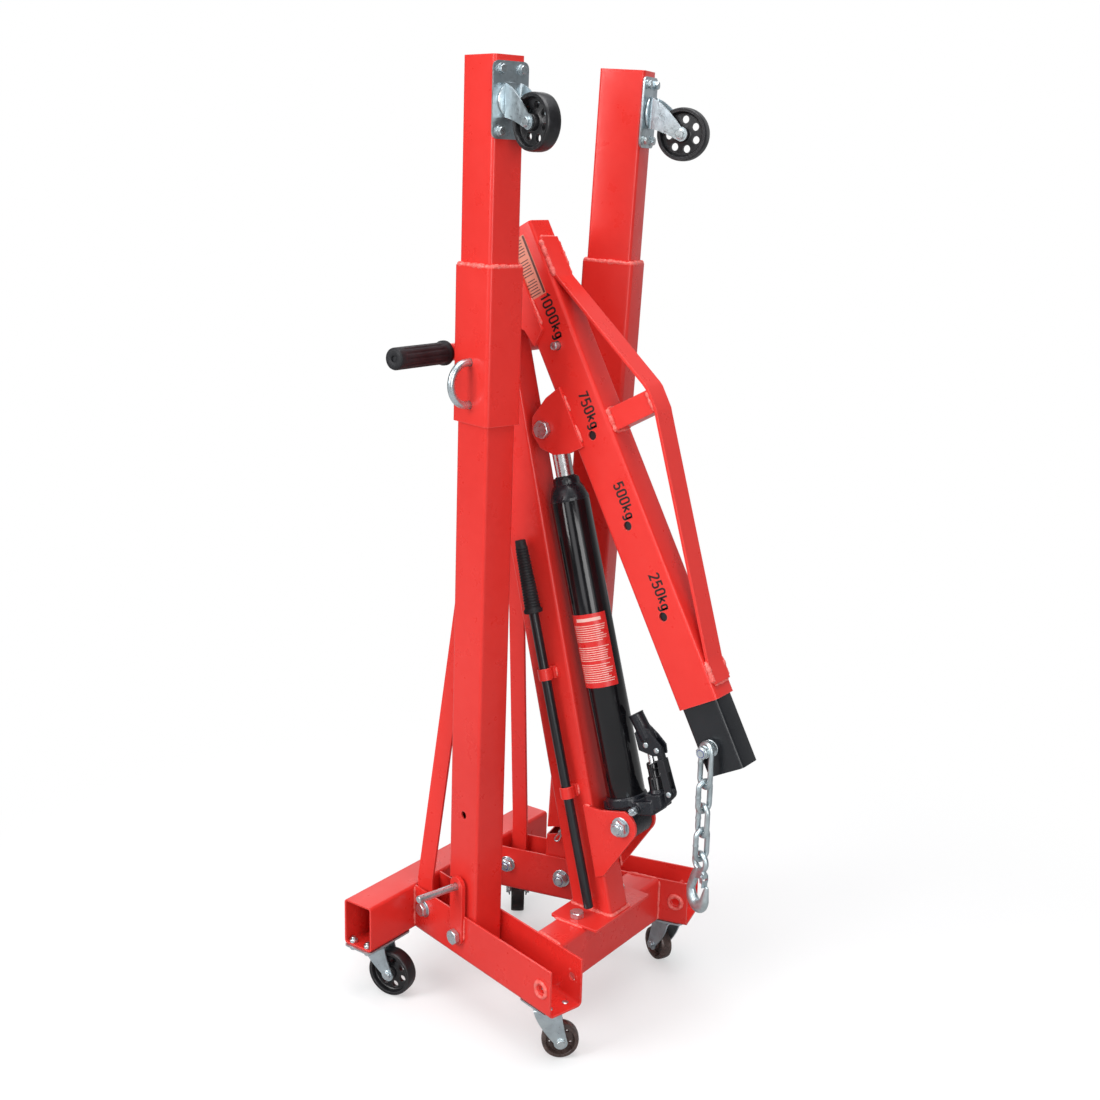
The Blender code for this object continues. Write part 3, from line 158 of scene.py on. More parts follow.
# the boom's frame runs along, down and to the right; its cross section has its own
BOOM_ALONG = joint_axis("boom_extend")
BOOM_DOWN = Vector((BOOM_ALONG.z, 0, -BOOM_ALONG.x))
BOOM_PIVOT, RAM = joint_at("boom_lift"), joint_at("ram_tilt")
BOOM = Frame(BOOM_PIVOT - BOOM_ALONG * PIVOT_S * MM - BOOM_DOWN * PIVOT_DOWN * MM,
             BOOM_ALONG, BOOM_DOWN, RIGHT)
BOOM_SECTION = Frame(BOOM.origin, BOOM.y, BOOM.z, BOOM.x)

# the jack's frame has z up its axis; its side view has y up and z to the right
JACK_FOOT = base_at(JACK_FOOT_X, 0, JACK_FOOT_Z)
JACK_UP = (RAM - JACK_FOOT).normalized()
JACK_LEN = (RAM - JACK_FOOT).length / MM
JACK = Frame(JACK_FOOT, LEFT.cross(JACK_UP), LEFT, JACK_UP)
JACK_SIDE = Frame(JACK.origin, JACK.x, JACK.z, -JACK.y)

MAST_ANGLE = atan(MAST_SLOPE)
MAST_LEVEL_D = MAST_D / cos(MAST_ANGLE)  # the mast's depth in a level section


def mast_x(z):
    return MAST_FOOT_X - MAST_SLOPE * (z - MAST_FOOT_Z)


# ---------------------------------------------------------------- shader graphs
class Graph:
    """Short calls for the nodes of one tree."""

    def __init__(self, tree):
        self.tree = tree

    def feed(self, socket, value):
        """Sets a number or an RGB colour, or links an output."""
        if isinstance(value, (int, float)):
            socket.default_value = value
        elif isinstance(value, tuple):
            socket.default_value = (*value, 1)
        else:
            self.tree.links.new(value, socket)

    def node(self, kind, inputs=(), **settings):
        made = self.tree.nodes.new(kind)
        for key, value in settings.items():
            setattr(made, key, value)
        for socket, value in dict(inputs).items():
            self.feed(made.inputs[socket], value)
        return made

    def ramp(self, factor, stops):
        made = self.node("ShaderNodeValToRGB", {"Fac": factor})
        elements = made.color_ramp.elements
        while len(elements) < len(stops):
            elements.new(0.5)
        for element, (position, colour) in zip(elements, stops):
            element.position = position
            element.color = (*colour, 1)
        return made.outputs["Color"]

    def remap(self, value, span, to, **settings):
        numbers = dict(enumerate((*span, *to), 1))
        return self.node("ShaderNodeMapRange", {**numbers, 0: value}, **settings).outputs[0]

    def mix(self, factor, first, second):
        return self.node("ShaderNodeMix", {6: first, 7: second, 0: factor},
                         data_type="RGBA").outputs[2]

    def mix_shader(self, factor, first, second):
        return self.node("ShaderNodeMixShader", {0: factor, 1: first, 2: second}).outputs[0]

    def math(self, operation, first, second, clamp=False):
        return self.node("ShaderNodeMath", {0: first, 1: second},
                         operation=operation, use_clamp=clamp).outputs[0]


class Surface(Graph):
    """A new material around its Principled shader."""

    def __init__(self, name):
        self.material = bpy.data.materials.new(name)
        self.material.use_nodes = True
        super().__init__(self.material.node_tree)
        self.shader = self.tree.nodes["Principled BSDF"]
        self.coords = self.node("ShaderNodeTexCoord").outputs["Object"]
        self.normal = None

    def noise(self, scale, detail=3.0, rough=0.5, distort=0.0):
        return self.node("ShaderNodeTexNoise", {
            "Scale": scale, "Detail": detail, "Roughness": rough, "Distortion": distort,
            "Vector": self.coords}).outputs["Fac"]

    def cloud(self, span, to, **noise):
        """Noise with its values in span spread over to."""
        return self.remap(self.noise(**noise), span, to)

    def bump(self, height, strength, distance):
        """Adds a bump on top of the earlier ones."""
        inputs = {"Strength": strength, "Distance": distance, "Height": height}
        if self.normal is not None:
            inputs["Normal"] = self.normal
        self.normal = self.node("ShaderNodeBump", inputs).outputs["Normal"]
        self.feed(self.shader.inputs["Normal"], self.normal)

    def edge_wear_and_highlight(self, base, radius, amount, colour):
        """Mixes colour in where a rounded normal (radius in metres) leaves the true one."""
        gain = 5.0
        bevelled = self.node("ShaderNodeBevel", {"Radius": radius}, samples=4)
        true = self.node("ShaderNodeNewGeometry")
        dot = self.node("ShaderNodeVectorMath", operation="DOT_PRODUCT", inputs={
            0: bevelled.outputs["Normal"], 1: true.outputs["Normal"]})
        turned_off = self.math("SUBTRACT", 1.0, dot.outputs["Value"])
        edge = self.math("MULTIPLY", turned_off, gain, clamp=True)
        return self.mix(self.math("MULTIPLY", edge, amount), base, colour)

    def finish(self, **inputs):
        for name, value in inputs.items():
            self.feed(self.shader.inputs[name.replace("_", " ")], value)
        return self.material


def tinted(colour, factor, add=0.0, most=1.0):
    return tuple(min(most, part * factor + add) for part in colour)


# ---------------------------------------------------------------- materials
def red_paint(name, bead=False):
    """Red enamel with paler edges as a painted highlight, or mottled as it lies on weld beads."""
    s = Surface(name)
    colour = s.ramp(s.noise(scale=3.5, detail=2), [
        (0.3, (0.690, 0.026, 0.020)), (0.7, (0.760, 0.034, 0.026))])
    colour = s.mix(s.cloud((0.35, 0.75), (0, 0.22), scale=45, detail=4, rough=0.6),
                   colour, (0.80, 0.050, 0.040))
    if bead:
        colour = s.mix(s.cloud((0.35, 0.7), (0.35, 0.95), scale=240), colour,
                       (0.88, 0.22, 0.19))
    else:
        # paler pink along the rounded edges: a painted highlight
        colour = s.edge_wear_and_highlight(colour, radius=0.0014, amount=0.55, colour=(0.93, 0.22, 0.20))
    # fine scuffs and dust specks
    colour = s.mix(s.cloud((0.76, 0.84), (0, 0.12), scale=900, detail=2, rough=0.7),
                   colour, (0.50, 0.16, 0.15))
    rough = s.cloud((0.3, 0.75), (0.24, 0.40), scale=26, detail=5, rough=0.65)
    s.bump(s.noise(scale=520, detail=2), strength=0.45 if bead else 0.10, distance=0.0004)
    s.bump(s.noise(scale=38, detail=2), strength=0.035, distance=0.0012)
    return s.finish(Base_Color=colour, Roughness=rough, Metallic=0.0, Coat_Weight=0.12,
                    Coat_Roughness=0.12, Specular_IOR_Level=0.32)


def black_paint(name, tint, gloss, cast=0.0):
    """Black paint; gloss is its roughness range, cast the pitting of the metal below."""
    s = Surface(name)
    colour = s.mix(s.cloud((0.3, 0.8), (0, 1), scale=18, detail=4),
                   tint, tinted(tint, 1.8, add=0.002))
    colour = s.edge_wear_and_highlight(colour, radius=0.0012, amount=0.35, colour=(0.10, 0.105, 0.115))
    rough = s.cloud((0.3, 0.75), gloss, scale=70, detail=4, rough=0.6)
    s.bump(s.noise(scale=380), strength=0.12 + cast * 0.5, distance=0.0005)
    if cast:
        s.bump(s.noise(scale=110, detail=4, rough=0.6), strength=0.5 * cast, distance=0.0012)
    return s.finish(Base_Color=colour, Roughness=rough, Metallic=0.0,
                    Coat_Weight=0.1 if cast else 0.2, Coat_Roughness=0.1,
                    Specular_IOR_Level=0.38)


def zinc(name, tint, gloss, grain):
    """Clouded zinc plate; gloss is its roughness range, grain its bump strength."""
    s = Surface(name)
    colour = s.ramp(s.noise(scale=55, detail=4, rough=0.6, distort=0.4), [
        (0.25, tinted(tint, 0.72)), (0.5, tint), (0.78, tinted(tint, 1.22))])
    colour = s.mix(s.cloud((0.5, 0.8), (0, 0.30), scale=14, detail=2),
                   colour, (0.62, 0.60, 0.50))
    colour = s.edge_wear_and_highlight(colour, radius=0.0008, amount=0.5, colour=(0.86, 0.89, 0.91))
    rough = s.cloud((0.3, 0.75), gloss, scale=180, detail=4, rough=0.65)
    s.bump(s.noise(scale=650), strength=grain, distance=0.0004)
    return s.finish(Base_Color=colour, Roughness=rough, Metallic=0.92)


def chrome(name):
    """Chrome with fine rings left by turning."""
    s = Surface(name)
    rings = s.node("ShaderNodeTexWave", wave_type="RINGS", rings_direction="Z", inputs={
        "Scale": 90.0, "Distortion": 1.5, "Vector": s.coords})
    colour = s.mix(s.cloud((0.4, 0.8), (0, 0.5), scale=30),
                   (0.74, 0.745, 0.75), (0.60, 0.60, 0.60))
    rough = s.cloud((0.3, 0.7), (0.20, 0.30), scale=240)
    s.bump(rings.outputs["Fac"], strength=0.02, distance=0.0002)
    return s.finish(Base_Color=colour, Roughness=rough, Metallic=1.0)


def rubber(name):
    s = Surface(name)
    colour = s.mix(s.cloud((0.35, 0.8), (0, 1), scale=35, detail=4),
                   (0.007, 0.007, 0.009), (0.020, 0.020, 0.023))
    colour = s.mix(s.cloud((0.66, 0.8), (0, 0.35), scale=420, detail=2),
                   colour, (0.07, 0.07, 0.07))
    rough = s.cloud((0.3, 0.7), (0.48, 0.66), scale=90)
    s.bump(s.noise(scale=700), strength=0.25, distance=0.0005)
    return s.finish(Base_Color=colour, Roughness=rough, Metallic=0.0,
                    Specular_IOR_Level=0.35)


def iron(name, tint, gloss):
    """Painted cast iron; gloss is its roughness range."""
    s = Surface(name)
    colour = s.ramp(s.noise(scale=60, detail=5, rough=0.65), [
        (0.3, tinted(tint, 0.45)), (0.55, tint), (0.8, tinted(tint, 2.3))])
    colour = s.edge_wear_and_highlight(colour, radius=0.0012, amount=0.4, colour=(0.16, 0.15, 0.15))
    rough = s.cloud((0.3, 0.75), gloss, scale=140, detail=4)
    s.bump(s.noise(scale=300, detail=4, rough=0.6), strength=0.35, distance=0.0007)
    return s.finish(Base_Color=colour, Roughness=rough, Metallic=0.15, Coat_Weight=0.2,
                    Coat_Roughness=0.2)


def flat(name, tint, rough):
    """A plain, slightly uneven colour for print and plastic."""
    s = Surface(name)
    colour = s.mix(s.cloud((0.35, 0.8), (0, 0.25), scale=120), tint, tinted(tint, 0.8))
    s.bump(s.noise(scale=900, detail=2), strength=0.08, distance=0.0002)
    rough = s.cloud((0.3, 0.7), (rough - 0.06, rough + 0.08), scale=60, detail=2)
    return s.finish(Base_Color=colour, Roughness=rough, Metallic=0.0)


RED = red_paint("red_paint_looks")
WELD = red_paint("red_weld_looks", bead=True)
GLOSS = black_paint("black_gloss_looks", tint=(0.004, 0.004, 0.005), gloss=(0.09, 0.17))
CASTING = black_paint("black_casting_looks", tint=(0.006, 0.007, 0.010),
                      gloss=(0.22, 0.40), cast=0.8)
SATIN = black_paint("black_satin_looks", tint=(0.006, 0.007, 0.009), gloss=(0.30, 0.44))
ZINC = zinc("zinc_looks", tint=(0.56, 0.63, 0.66), gloss=(0.22, 0.42), grain=0.10)
ZINC_SHEET = zinc("zinc_sheet_looks", tint=(0.50, 0.58, 0.62), gloss=(0.26, 0.46), grain=0.14)
ZINC_CHAIN = zinc("zinc_chain_looks", tint=(0.52, 0.60, 0.63), gloss=(0.30, 0.5), grain=0.3)
CHROME = chrome("ram_chrome_looks")
RUBBER = rubber("rubber_looks")
IRON = iron("cast_iron_looks", tint=(0.012, 0.012, 0.014), gloss=(0.30, 0.5))
BROWN = iron("brown_wheel_looks", tint=(0.085, 0.055, 0.048), gloss=(0.22, 0.38))
NYLON = flat("nylon_ring_looks", tint=(0.06, 0.08, 0.35), rough=0.4)
INK = flat("black_mark_looks", tint=(0.003, 0.003, 0.003), rough=0.6)
LABEL_RED = flat("label_red_looks", tint=(0.66, 0.022, 0.020), rough=0.3)
LABEL_PALE = flat("label_pale_looks", tint=(0.82, 0.50, 0.44), rough=0.4)
LABEL_CREAM = flat("label_cream_looks", tint=(0.66, 0.25, 0.17), rough=0.4)
LABEL_GREY = flat("label_grey_looks", tint=(0.10, 0.035, 0.03), rough=0.5)


# ---------------------------------------------------------------- outlines
def arc(cx, cy, radius, start, end, steps=14, ry=None):
    """Points from start to end (degrees), both included; ry makes the arc an ellipse's."""
    ry = radius if ry is None else ry
    angles = [rad(start + (end - start) * k / steps) for k in range(steps + 1)]
    return [(cx + radius * cos(t), cy + ry * sin(t)) for t in angles]


def circle(cx, cy, radius, steps):
    return arc(cx, cy, radius, 0, 360, steps)[:-1]


def rounded(a0, a1, b0, b1, r, steps=7):
    """A rectangle with rounded corners."""
    corners = ((a1 - r, b0 + r, -90), (a1 - r, b1 - r, 0),
               (a0 + r, b1 - r, 90), (a0 + r, b0 + r, 180))
    return [point for cx, cy, start in corners
            for point in arc(cx, cy, r, start, start + 90.0, steps)]


def spline(stations, steps):
    """A Catmull-Rom curve through stations of any number of columns."""
    out = []
    last = len(stations) - 1
    for i in range(last):
        near = [stations[min(last, max(0, i + k))] for k in (-1, 0, 1, 2)]
        for k in range(steps):
            t = k / steps
            out.append(tuple(
                0.5 * ((2 * b) + (-a + c) * t + (2 * a - 5 * b + 4 * c - d) * t * t
                       + (-a + 3 * b - 3 * c + d) * t ** 3)
                for a, b, c, d in zip(*near)))
    return out + [stations[-1]]


# ---------------------------------------------------------------- mesh helpers
def new_object(bm, recalc=True, name="part"):
    if recalc:
        bmesh.ops.recalc_face_normals(bm, faces=bm.faces[:])
    mesh = bpy.data.meshes.new(name)
    bm.to_mesh(mesh)
    bm.free()
    made = bpy.data.objects.new(name, mesh)
    SCENE.objects.link(made)
    return made


def built(add, *args, **options):
    """A new object from one of the add_ functions."""
    bm = bmesh.new()
    add(bm, *args, **options)
    return new_object(bm)


def add_loft(bm, rings, capped=True):
    """Skins the rings; uncapped, the last ring joins the first."""
    made = [[bm.verts.new(p) for p in ring] for ring in rings]
    n = len(rings[0])
    for a, b in zip(made, made[1:]):
        for i in range(n):
            k = (i + 1) % n
            bm.faces.new((a[i], a[k], b[k], b[i]))
    if capped:
        bm.faces.new(list(reversed(made[0])))
        bm.faces.new(made[-1])
    else:
        for i in range(n):
            k = (i + 1) % n
            bm.faces.new((made[-1][i], made[-1][k], made[0][k], made[0][i]))


def loft(rings):
    return built(add_loft, rings)


def prism(frame, outline, c0, c1):
    return loft([[frame.at(a, b, c) for a, b in outline] for c in (c0, c1)])


def box(frame, a0, a1, b0, b1, c0, c1):
    return prism(frame, [(a0, b0), (a1, b0), (a1, b1), (a0, b1)], c0, c1)


def basis(direction):
    """Two cross axes and the unit direction itself."""
    d = Vector(direction).normalized()
    side = Vector((0, 0, 1)) if abs(d.z) < 0.9 else Vector((1, 0, 0))
    x = d.cross(side).normalized()
    return x, d.cross(x), d


def around(n):
    return [2 * pi * i / n for i in range(n)]


def cylinder(start, end, r, n=40):
    x, y, _ = basis(end - start)
    return loft([[p + x * r * MM * cos(t) + y * r * MM * sin(t) for t in around(n)]
                 for p in (start, end)])


def cross_bore(centre, r, n=40):
    """A long cutter along y."""
    return cylinder(aside(centre, -60), aside(centre, 60), r, n)


def add_turned(bm, frame, profile, n=48):
    """Turns (radius, height) pairs, which start and end on the axis."""
    rings = []
    for r, h in profile:
        if r < 1e-6:
            rings.append([bm.verts.new(frame.at(0, 0, h))])
        else:
            rings.append([bm.verts.new(frame.at(r * cos(t), r * sin(t), h))
                          for t in around(n)])
    for a, b in zip(rings, rings[1:]):
        for i in range(n):
            k = (i + 1) % n
            if len(a) == 1:
                bm.faces.new((a[0], b[k], b[i]))
            elif len(b) == 1:
                bm.faces.new((a[i], a[k], b[0]))
            else:
                bm.faces.new((a[i], a[k], b[k], b[i]))


def turned(frame, profile, n=48):
    return built(add_turned, frame, profile, n)


def add_ring(bm, frame, profile, n=48):
    """Turns a closed (radius, height) outline clear of the axis."""
    add_loft(bm, [[frame.at(r * cos(t), r * sin(t), h) for r, h in profile]
                  for t in around(n)], capped=False)


def ring(frame, profile, n=48):
    return built(add_ring, frame, profile, n)


def add_sweep(bm, points, radii, n=16, closed=False, up=None, flatten=1.0):
    """A round bar along points in metres; with up, its sections are flattened along up."""
    count = len(points)
    tangents = []
    for k in range(count):
        a = points[(k - 1) % count] if closed else points[max(0, k - 1)]
        b = points[(k + 1) % count] if closed else points[min(count - 1, k + 1)]
        tangents.append((b - a).normalized())
    if up is None:
        x = basis(tangents[0])[0]
        axes = []
        for t in tangents:
            x = (x - t * x.dot(t)).normalized()
            axes.append((x, t.cross(x)))
    else:
        axes = [(t.cross(up).normalized(), up) for t in tangents]
    rings = [[p + x * r * MM * cos(t) + y * r * flatten * MM * sin(t) for t in around(n)]
             for p, r, (x, y) in zip(points, radii, axes)]
    add_loft(bm, rings, capped=not closed)


def add_hex(bm, start, axis, across, height, turn=0.0):
    """A chamfered hexagon, across its flats, from start along axis."""
    x, y, d = basis(axis)
    flat_r = across / 2
    columns = []
    for t in around(48):
        r = flat_r / cos((t + turn) % (pi / 3) - pi / 6)
        profile = ((flat_r * 0.95, 0.0),
                   (r, 0.5 + (r - flat_r) * 0.5),
                   (r, height - 0.35 - (r - flat_r * 0.97) * 0.62),
                   (flat_r * 0.95, height))
        columns.append([start + (x * cos(t) + y * sin(t)) * out * MM + d * h * MM
                        for out, h in profile])
    add_loft(bm, list(zip(*columns)))


def apply_modifiers(target):
    bpy.context.view_layer.update()
    evaluated = target.evaluated_get(bpy.context.evaluated_depsgraph_get())
    made = bpy.data.meshes.new_from_object(evaluated)
    target.modifiers.clear()
    old = target.data
    target.data = made
    bpy.data.meshes.remove(old)
    return target


def merge(target, *others, operation="UNION"):
    for other in others:
        boolean = target.modifiers.new("b", "BOOLEAN")
        boolean.operation, boolean.solver, boolean.object = operation, "EXACT", other
        apply_modifiers(target)
        bpy.data.objects.remove(other, do_unlink=True)
    return target


def cut(target, *others):
    return merge(target, *others, operation="DIFFERENCE")


def melt(target, voxel, smoothing):
    """Turns a union into one soft-edged casting."""
    remesh = target.modifiers.new("r", "REMESH")
    remesh.mode, remesh.voxel_size = "VOXEL", voxel * MM
    apply_modifiers(target)
    smooth = target.modifiers.new("s", "SMOOTH")
    smooth.factor, smooth.iterations = 0.6, smoothing
    return apply_modifiers(target)


def join(objects):
    bm = bmesh.new()
    for source in objects:
        bm.from_mesh(source.data)
    for source in objects:
        bpy.data.objects.remove(source, do_unlink=True)
    return new_object(bm, recalc=False)


def bevel(target, width=0.5, segments=2, angle=40):
    m = target.modifiers.new("bevel", "BEVEL")
    m.width, m.segments, m.limit_method, m.angle_limit = width * MM, segments, "ANGLE", rad(angle)
    return target


def tube(frame, section, span, bore_span, wall=WALL, bore_corner_r=BORE_CORNER_R):
    """A rectangular tube; section is a0, a1, b0, b1."""
    a0, a1, b0, b1 = section
    bore = (a0 + wall, a1 - wall, b0 + wall, b1 - wall)
    return cut(prism(frame, rounded(*section, CORNER_R), *span),
               prism(frame, rounded(*bore, bore_corner_r), *bore_span))


def piece(target, name, body, material, smooth=35, node=None):
    """Finishes an object that rides on a body, in place of the CAD node if one is given."""
    target.name = "v_" + name
    target.data.name = "v_" + name
    target.data.materials.clear()
    target.data.materials.append(material)
    target.data.shade_smooth()
    target.data.set_sharp_from_angle(angle=rad(smooth))
    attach(target, body)
    if node:
        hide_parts(node)


def stand_in(target, name, body, material, smooth=35):
    """A piece in place of the CAD node of the same name."""
    piece(target, name, body, material, smooth, node=name)


# ---------------------------------------------------------------- hardware and welds
BATCHES = {}  # small things that end up as one object each: name -> (bmesh, body, material)


def batch(name, body, material):
    if name not in BATCHES:
        BATCHES[name] = (bmesh.new(), body, material)
    return BATCHES[name][0]


def washer_and_hex(bm, start, axis, across, height, washer, turn):
    """Adds both and returns their height together."""
    z = 0.0
    if washer:
        add_turned(bm, Frame(start, *basis(axis)), [
            (0, 0), (across * 0.66, 0), (across * 0.68, 0.3), (across * 0.68, 1.5),
            (across * 0.66, 1.8), (0, 1.8)], 40)
        z = 1.8
    add_hex(bm, start + axis * z * MM, axis, across, height, turn)
    return z + height


def bolt(start, axis, across, height, body="base", washer=True, turn=0.0, key="hardware"):
    """A hexagon head standing on start."""
    washer_and_hex(batch(key + "_" + body, body, ZINC), start, Vector(axis).normalized(),
                   across, height, washer, turn)


def nut(start, axis, across, height, r, body="base", washer=True, thread=4.0, turn=0.2):
    """A lock nut with its nylon ring and the threaded end of a bolt of radius r."""
    bm = batch("hardware_" + body, body, ZINC)
    axis = Vector(axis).normalized()
    z = washer_and_hex(bm, start, axis, across, height, washer, turn)
    top = Frame(start + axis * z * MM, *basis(axis))
    collar = across * 0.44
    add_ring(bm, top, [(collar * 0.80, -0.6), (collar, -0.6), (collar, 1.6),
                       (collar * 0.93, 2.4), (collar * 0.80, 2.4)], 36)
    add_ring(batch("nylon_" + body, body, NYLON), top, [
        (r * 0.9, -0.5), (collar * 0.80, -0.5), (collar * 0.80, 1.9), (r * 0.96, 1.9)], 36)
    pitch = 0.75
    profile = [(0, -1.0), (r, -1.0)]
    for i in range(int(thread / pitch)):
        profile += [(r, i * pitch), (r * 0.92, i * pitch + 0.38)]
    profile += [(r * 0.85, thread + 0.6), (0, thread + 0.6)]
    add_turned(bm, top, profile, 28)


def weld(points, body, radius, seed, closed=False):
    """A rippled bead along points in metres; seed varies its ripples and drift."""
    step = 0.0009
    if closed:
        points = points + [points[0]]
    path = []
    for a, b in zip(points, points[1:]):
        count = max(1, int((b - a).length / step))
        path += [a.lerp(b, i / count) for i in range(count)]
    if not closed:
        path.append(points[-1])
        drift = Vector((sin(seed * 3.1), cos(seed * 1.7), sin(seed * 5.3 + 1.0))).normalized()
        path = [p + drift * MM * radius * 0.16
                * (sin(i * 0.29 + seed * 2) + 0.6 * sin(i * 0.083 + seed))
                for i, p in enumerate(path)]
    radii = []
    for i in range(len(path)):
        # a four-step ripple, with three slow waves over it
        r = radius * (0.90 + 0.16 * (1 - (i % 4) / 4.0) + 0.12 * sin(i * 0.37 + seed)
                      + 0.12 * sin(i * 0.11 + 2 * seed) + 0.06 * sin(i * 0.71 + 3 * seed))
        if not closed:
            r *= min(1.0, 0.45 + 0.16 * min(i, len(path) - 1 - i))
        radii.append(r)
    add_sweep(batch("weld_beads_" + body, body, WELD), path, radii, 10, closed=closed)


def spring_clip(start, along, across, body):
    """A clip of bent wire through a pin."""
    size, wire_r = 0.9, 1.25
    along, across = along.normalized(), across.normalized()
    bend = [(16 + 4.5 * sin(rad(t)), -4.5 + 4.5 * cos(rad(t))) for t in range(20, 200, 20)]
    path = [(-11, 0), (16, 0)] + bend + [
        (10, -8.4), (4, -5.6), (-1, -7.4), (-6, -5.4), (-11, -7.6)]
    points = [start + along * u * size * MM + across * v * size * MM for u, v in path]
    add_sweep(batch("clips_" + body, body, ZINC), points, [wire_r * size] * len(points), 10)


# ---------------------------------------------------------------- base
def inner_face(x):
    """How far out a channel's inner face lies at x."""
    along = (x - SPLAY_SIN * CHANNEL_W) / SPLAY_COS
    return CHANNEL_Y + SPLAY_SIN * along - SPLAY_COS * CHANNEL_W


def front_tube(inset, longer, r):
    outline = rounded(FRONT_X0 + inset, FRONT_X1 - inset, inset, CROSS_H - inset, r)
    return loft([[base_at(x, s * (inner_face(x) - GAP + longer), z) for x, z in outline]
                 for s in BOTH])


def build_cross_tubes():
    rear = tube(SIDE_VIEW, (-REAR_D, 0, 0, CROSS_H), (-REAR_HALF, REAR_HALF),
                (-REAR_HALF - 5, REAR_HALF + 5))
    stand_in(bevel(rear, 0.35), "rear_cross_tube", "base", RED)
    front = cut(front_tube(0, 0, CORNER_R), front_tube(WALL, 8, BORE_CORNER_R))
    stand_in(front, "front_cross_tube", "base", RED)


def channel_section():
    """(inward, up) outline of the open-topped channel: outer skin, then inner skin."""
    r, r_in, w = 8.0, 5.0, CHANNEL_W
    return ([(0, CROSS_H)]
            + arc(r, r, r, 180, 270, 8)
            + arc(w - r, r, r, 270, 360, 8)
            + [(w, CROSS_H), (w - WALL, CROSS_H)]
            + arc(w - WALL - r_in, WALL + r_in, r_in, 0, -90, 8)
            + arc(WALL + r_in, WALL + r_in, r_in, 270, 180, 8)
            + [(WALL, CROSS_H)])


def build_channel(side):
    at = side.base.at
    section = channel_section()
    channel = loft([[at((GAP - SPLAY_SIN * n) / SPLAY_COS, n, z) for n, z in section],
                    [at(CHANNEL_L, n, z) for n, z in section]])
    # upright ear on the outer face, with the upper lock hole
    ear = (arc(0, 0, EAR_HALF, 180, 360, 24) + arc(0, LOCK_UP, EAR_HALF, 0, 180, 24))
    ear_frame = Frame(at(PIVOT_ALONG, 0, PIVOT_Z), side.along, UP, side.inward)
    channel = merge(channel, prism(ear_frame, ear, -EAR_T, 1.0))
    # along, up, radius and inner end of each hole
    for along, z, r, end in (
            (PIVOT_ALONG, PIVOT_Z, HOLE_R, 90),
            (PIVOT_ALONG, PIVOT_Z + LOCK_UP, LOCK_R + 0.5, 3),
            (PIVOT_ALONG + LOCK_ALONG, PIVOT_Z, LOCK_R + 0.7, 90)):
        cut(channel, cylinder(at(along, -20, z), at(along, end, z), r, 36))
    stand_in(bevel(channel, 0.45), "channel_" + side.name, "base", RED)


def weld_channel(side):
    at = side.base.at
    # rings round the front lock holes, outside and inside
    for inward, r in ((-0.4, 11.5), (CHANNEL_W + 0.4, 11.0)):
        points = circle(PIVOT_ALONG + LOCK_ALONG, PIVOT_Z, r, 60)
        weld([at(a, inward, z) for a, z in points], "base", 3.1, seed=inward, closed=True)
    # upright seams, two of the ear and two to the rear tube:
    # along, inward, bottom, top, radius, seed
    for along, inward, low, high, radius, seed in (
            (PIVOT_ALONG - EAR_HALF, -1.0, PIVOT_Z - 2, CROSS_H - 3, 1.8, -1),
            (PIVOT_ALONG + EAR_HALF, -1.0, PIVOT_Z - 2, CROSS_H - 3, 1.8, 1),
            (1.2 / SPLAY_COS, -0.6, 7, CROSS_H - 2, 2.0, 1.5),
            ((1.0 - SPLAY_SIN * CHANNEL_W) / SPLAY_COS, CHANNEL_W + 0.3,
             7, CROSS_H - 2, 2.0, 2.5)):
        weld([at(along, inward, z) for z in (low, high)], "base", radius, seed)
    # seams to the front tube
    for x in (FRONT_X0 - 0.6, FRONT_X1 + 0.6):
        weld([base_at(x, side.sign * (inner_face(x) - 1.0), z) for z in (4, CROSS_H - 4)],
             "base", 2.1, seed=x)
    weld([base_at(x, side.sign * (inner_face(x) - 1.2), CROSS_H + 0.3)
          for x in (FRONT_X0 + 4, FRONT_X1 - 4)], "base", 2.3, seed=3.1)


def build_leg_pivot_bolt(side):
    at = side.base.at
    shank = cylinder(at(PIVOT_ALONG, -EAR_T, PIVOT_Z),
                     at(PIVOT_ALONG, CHANNEL_W + 12, PIVOT_Z), BOLT_R)
    stand_in(shank, "leg_pivot_bolt_" + side.name, "base", ZINC)
    bolt(at(PIVOT_ALONG, -EAR_T, PIVOT_Z), -side.inward, 22.0, 9.0, washer=False, turn=0.3)
    nut(at(PIVOT_ALONG, CHANNEL_W, PIVOT_Z), side.inward, 22.0, 9.5, r=6.6)


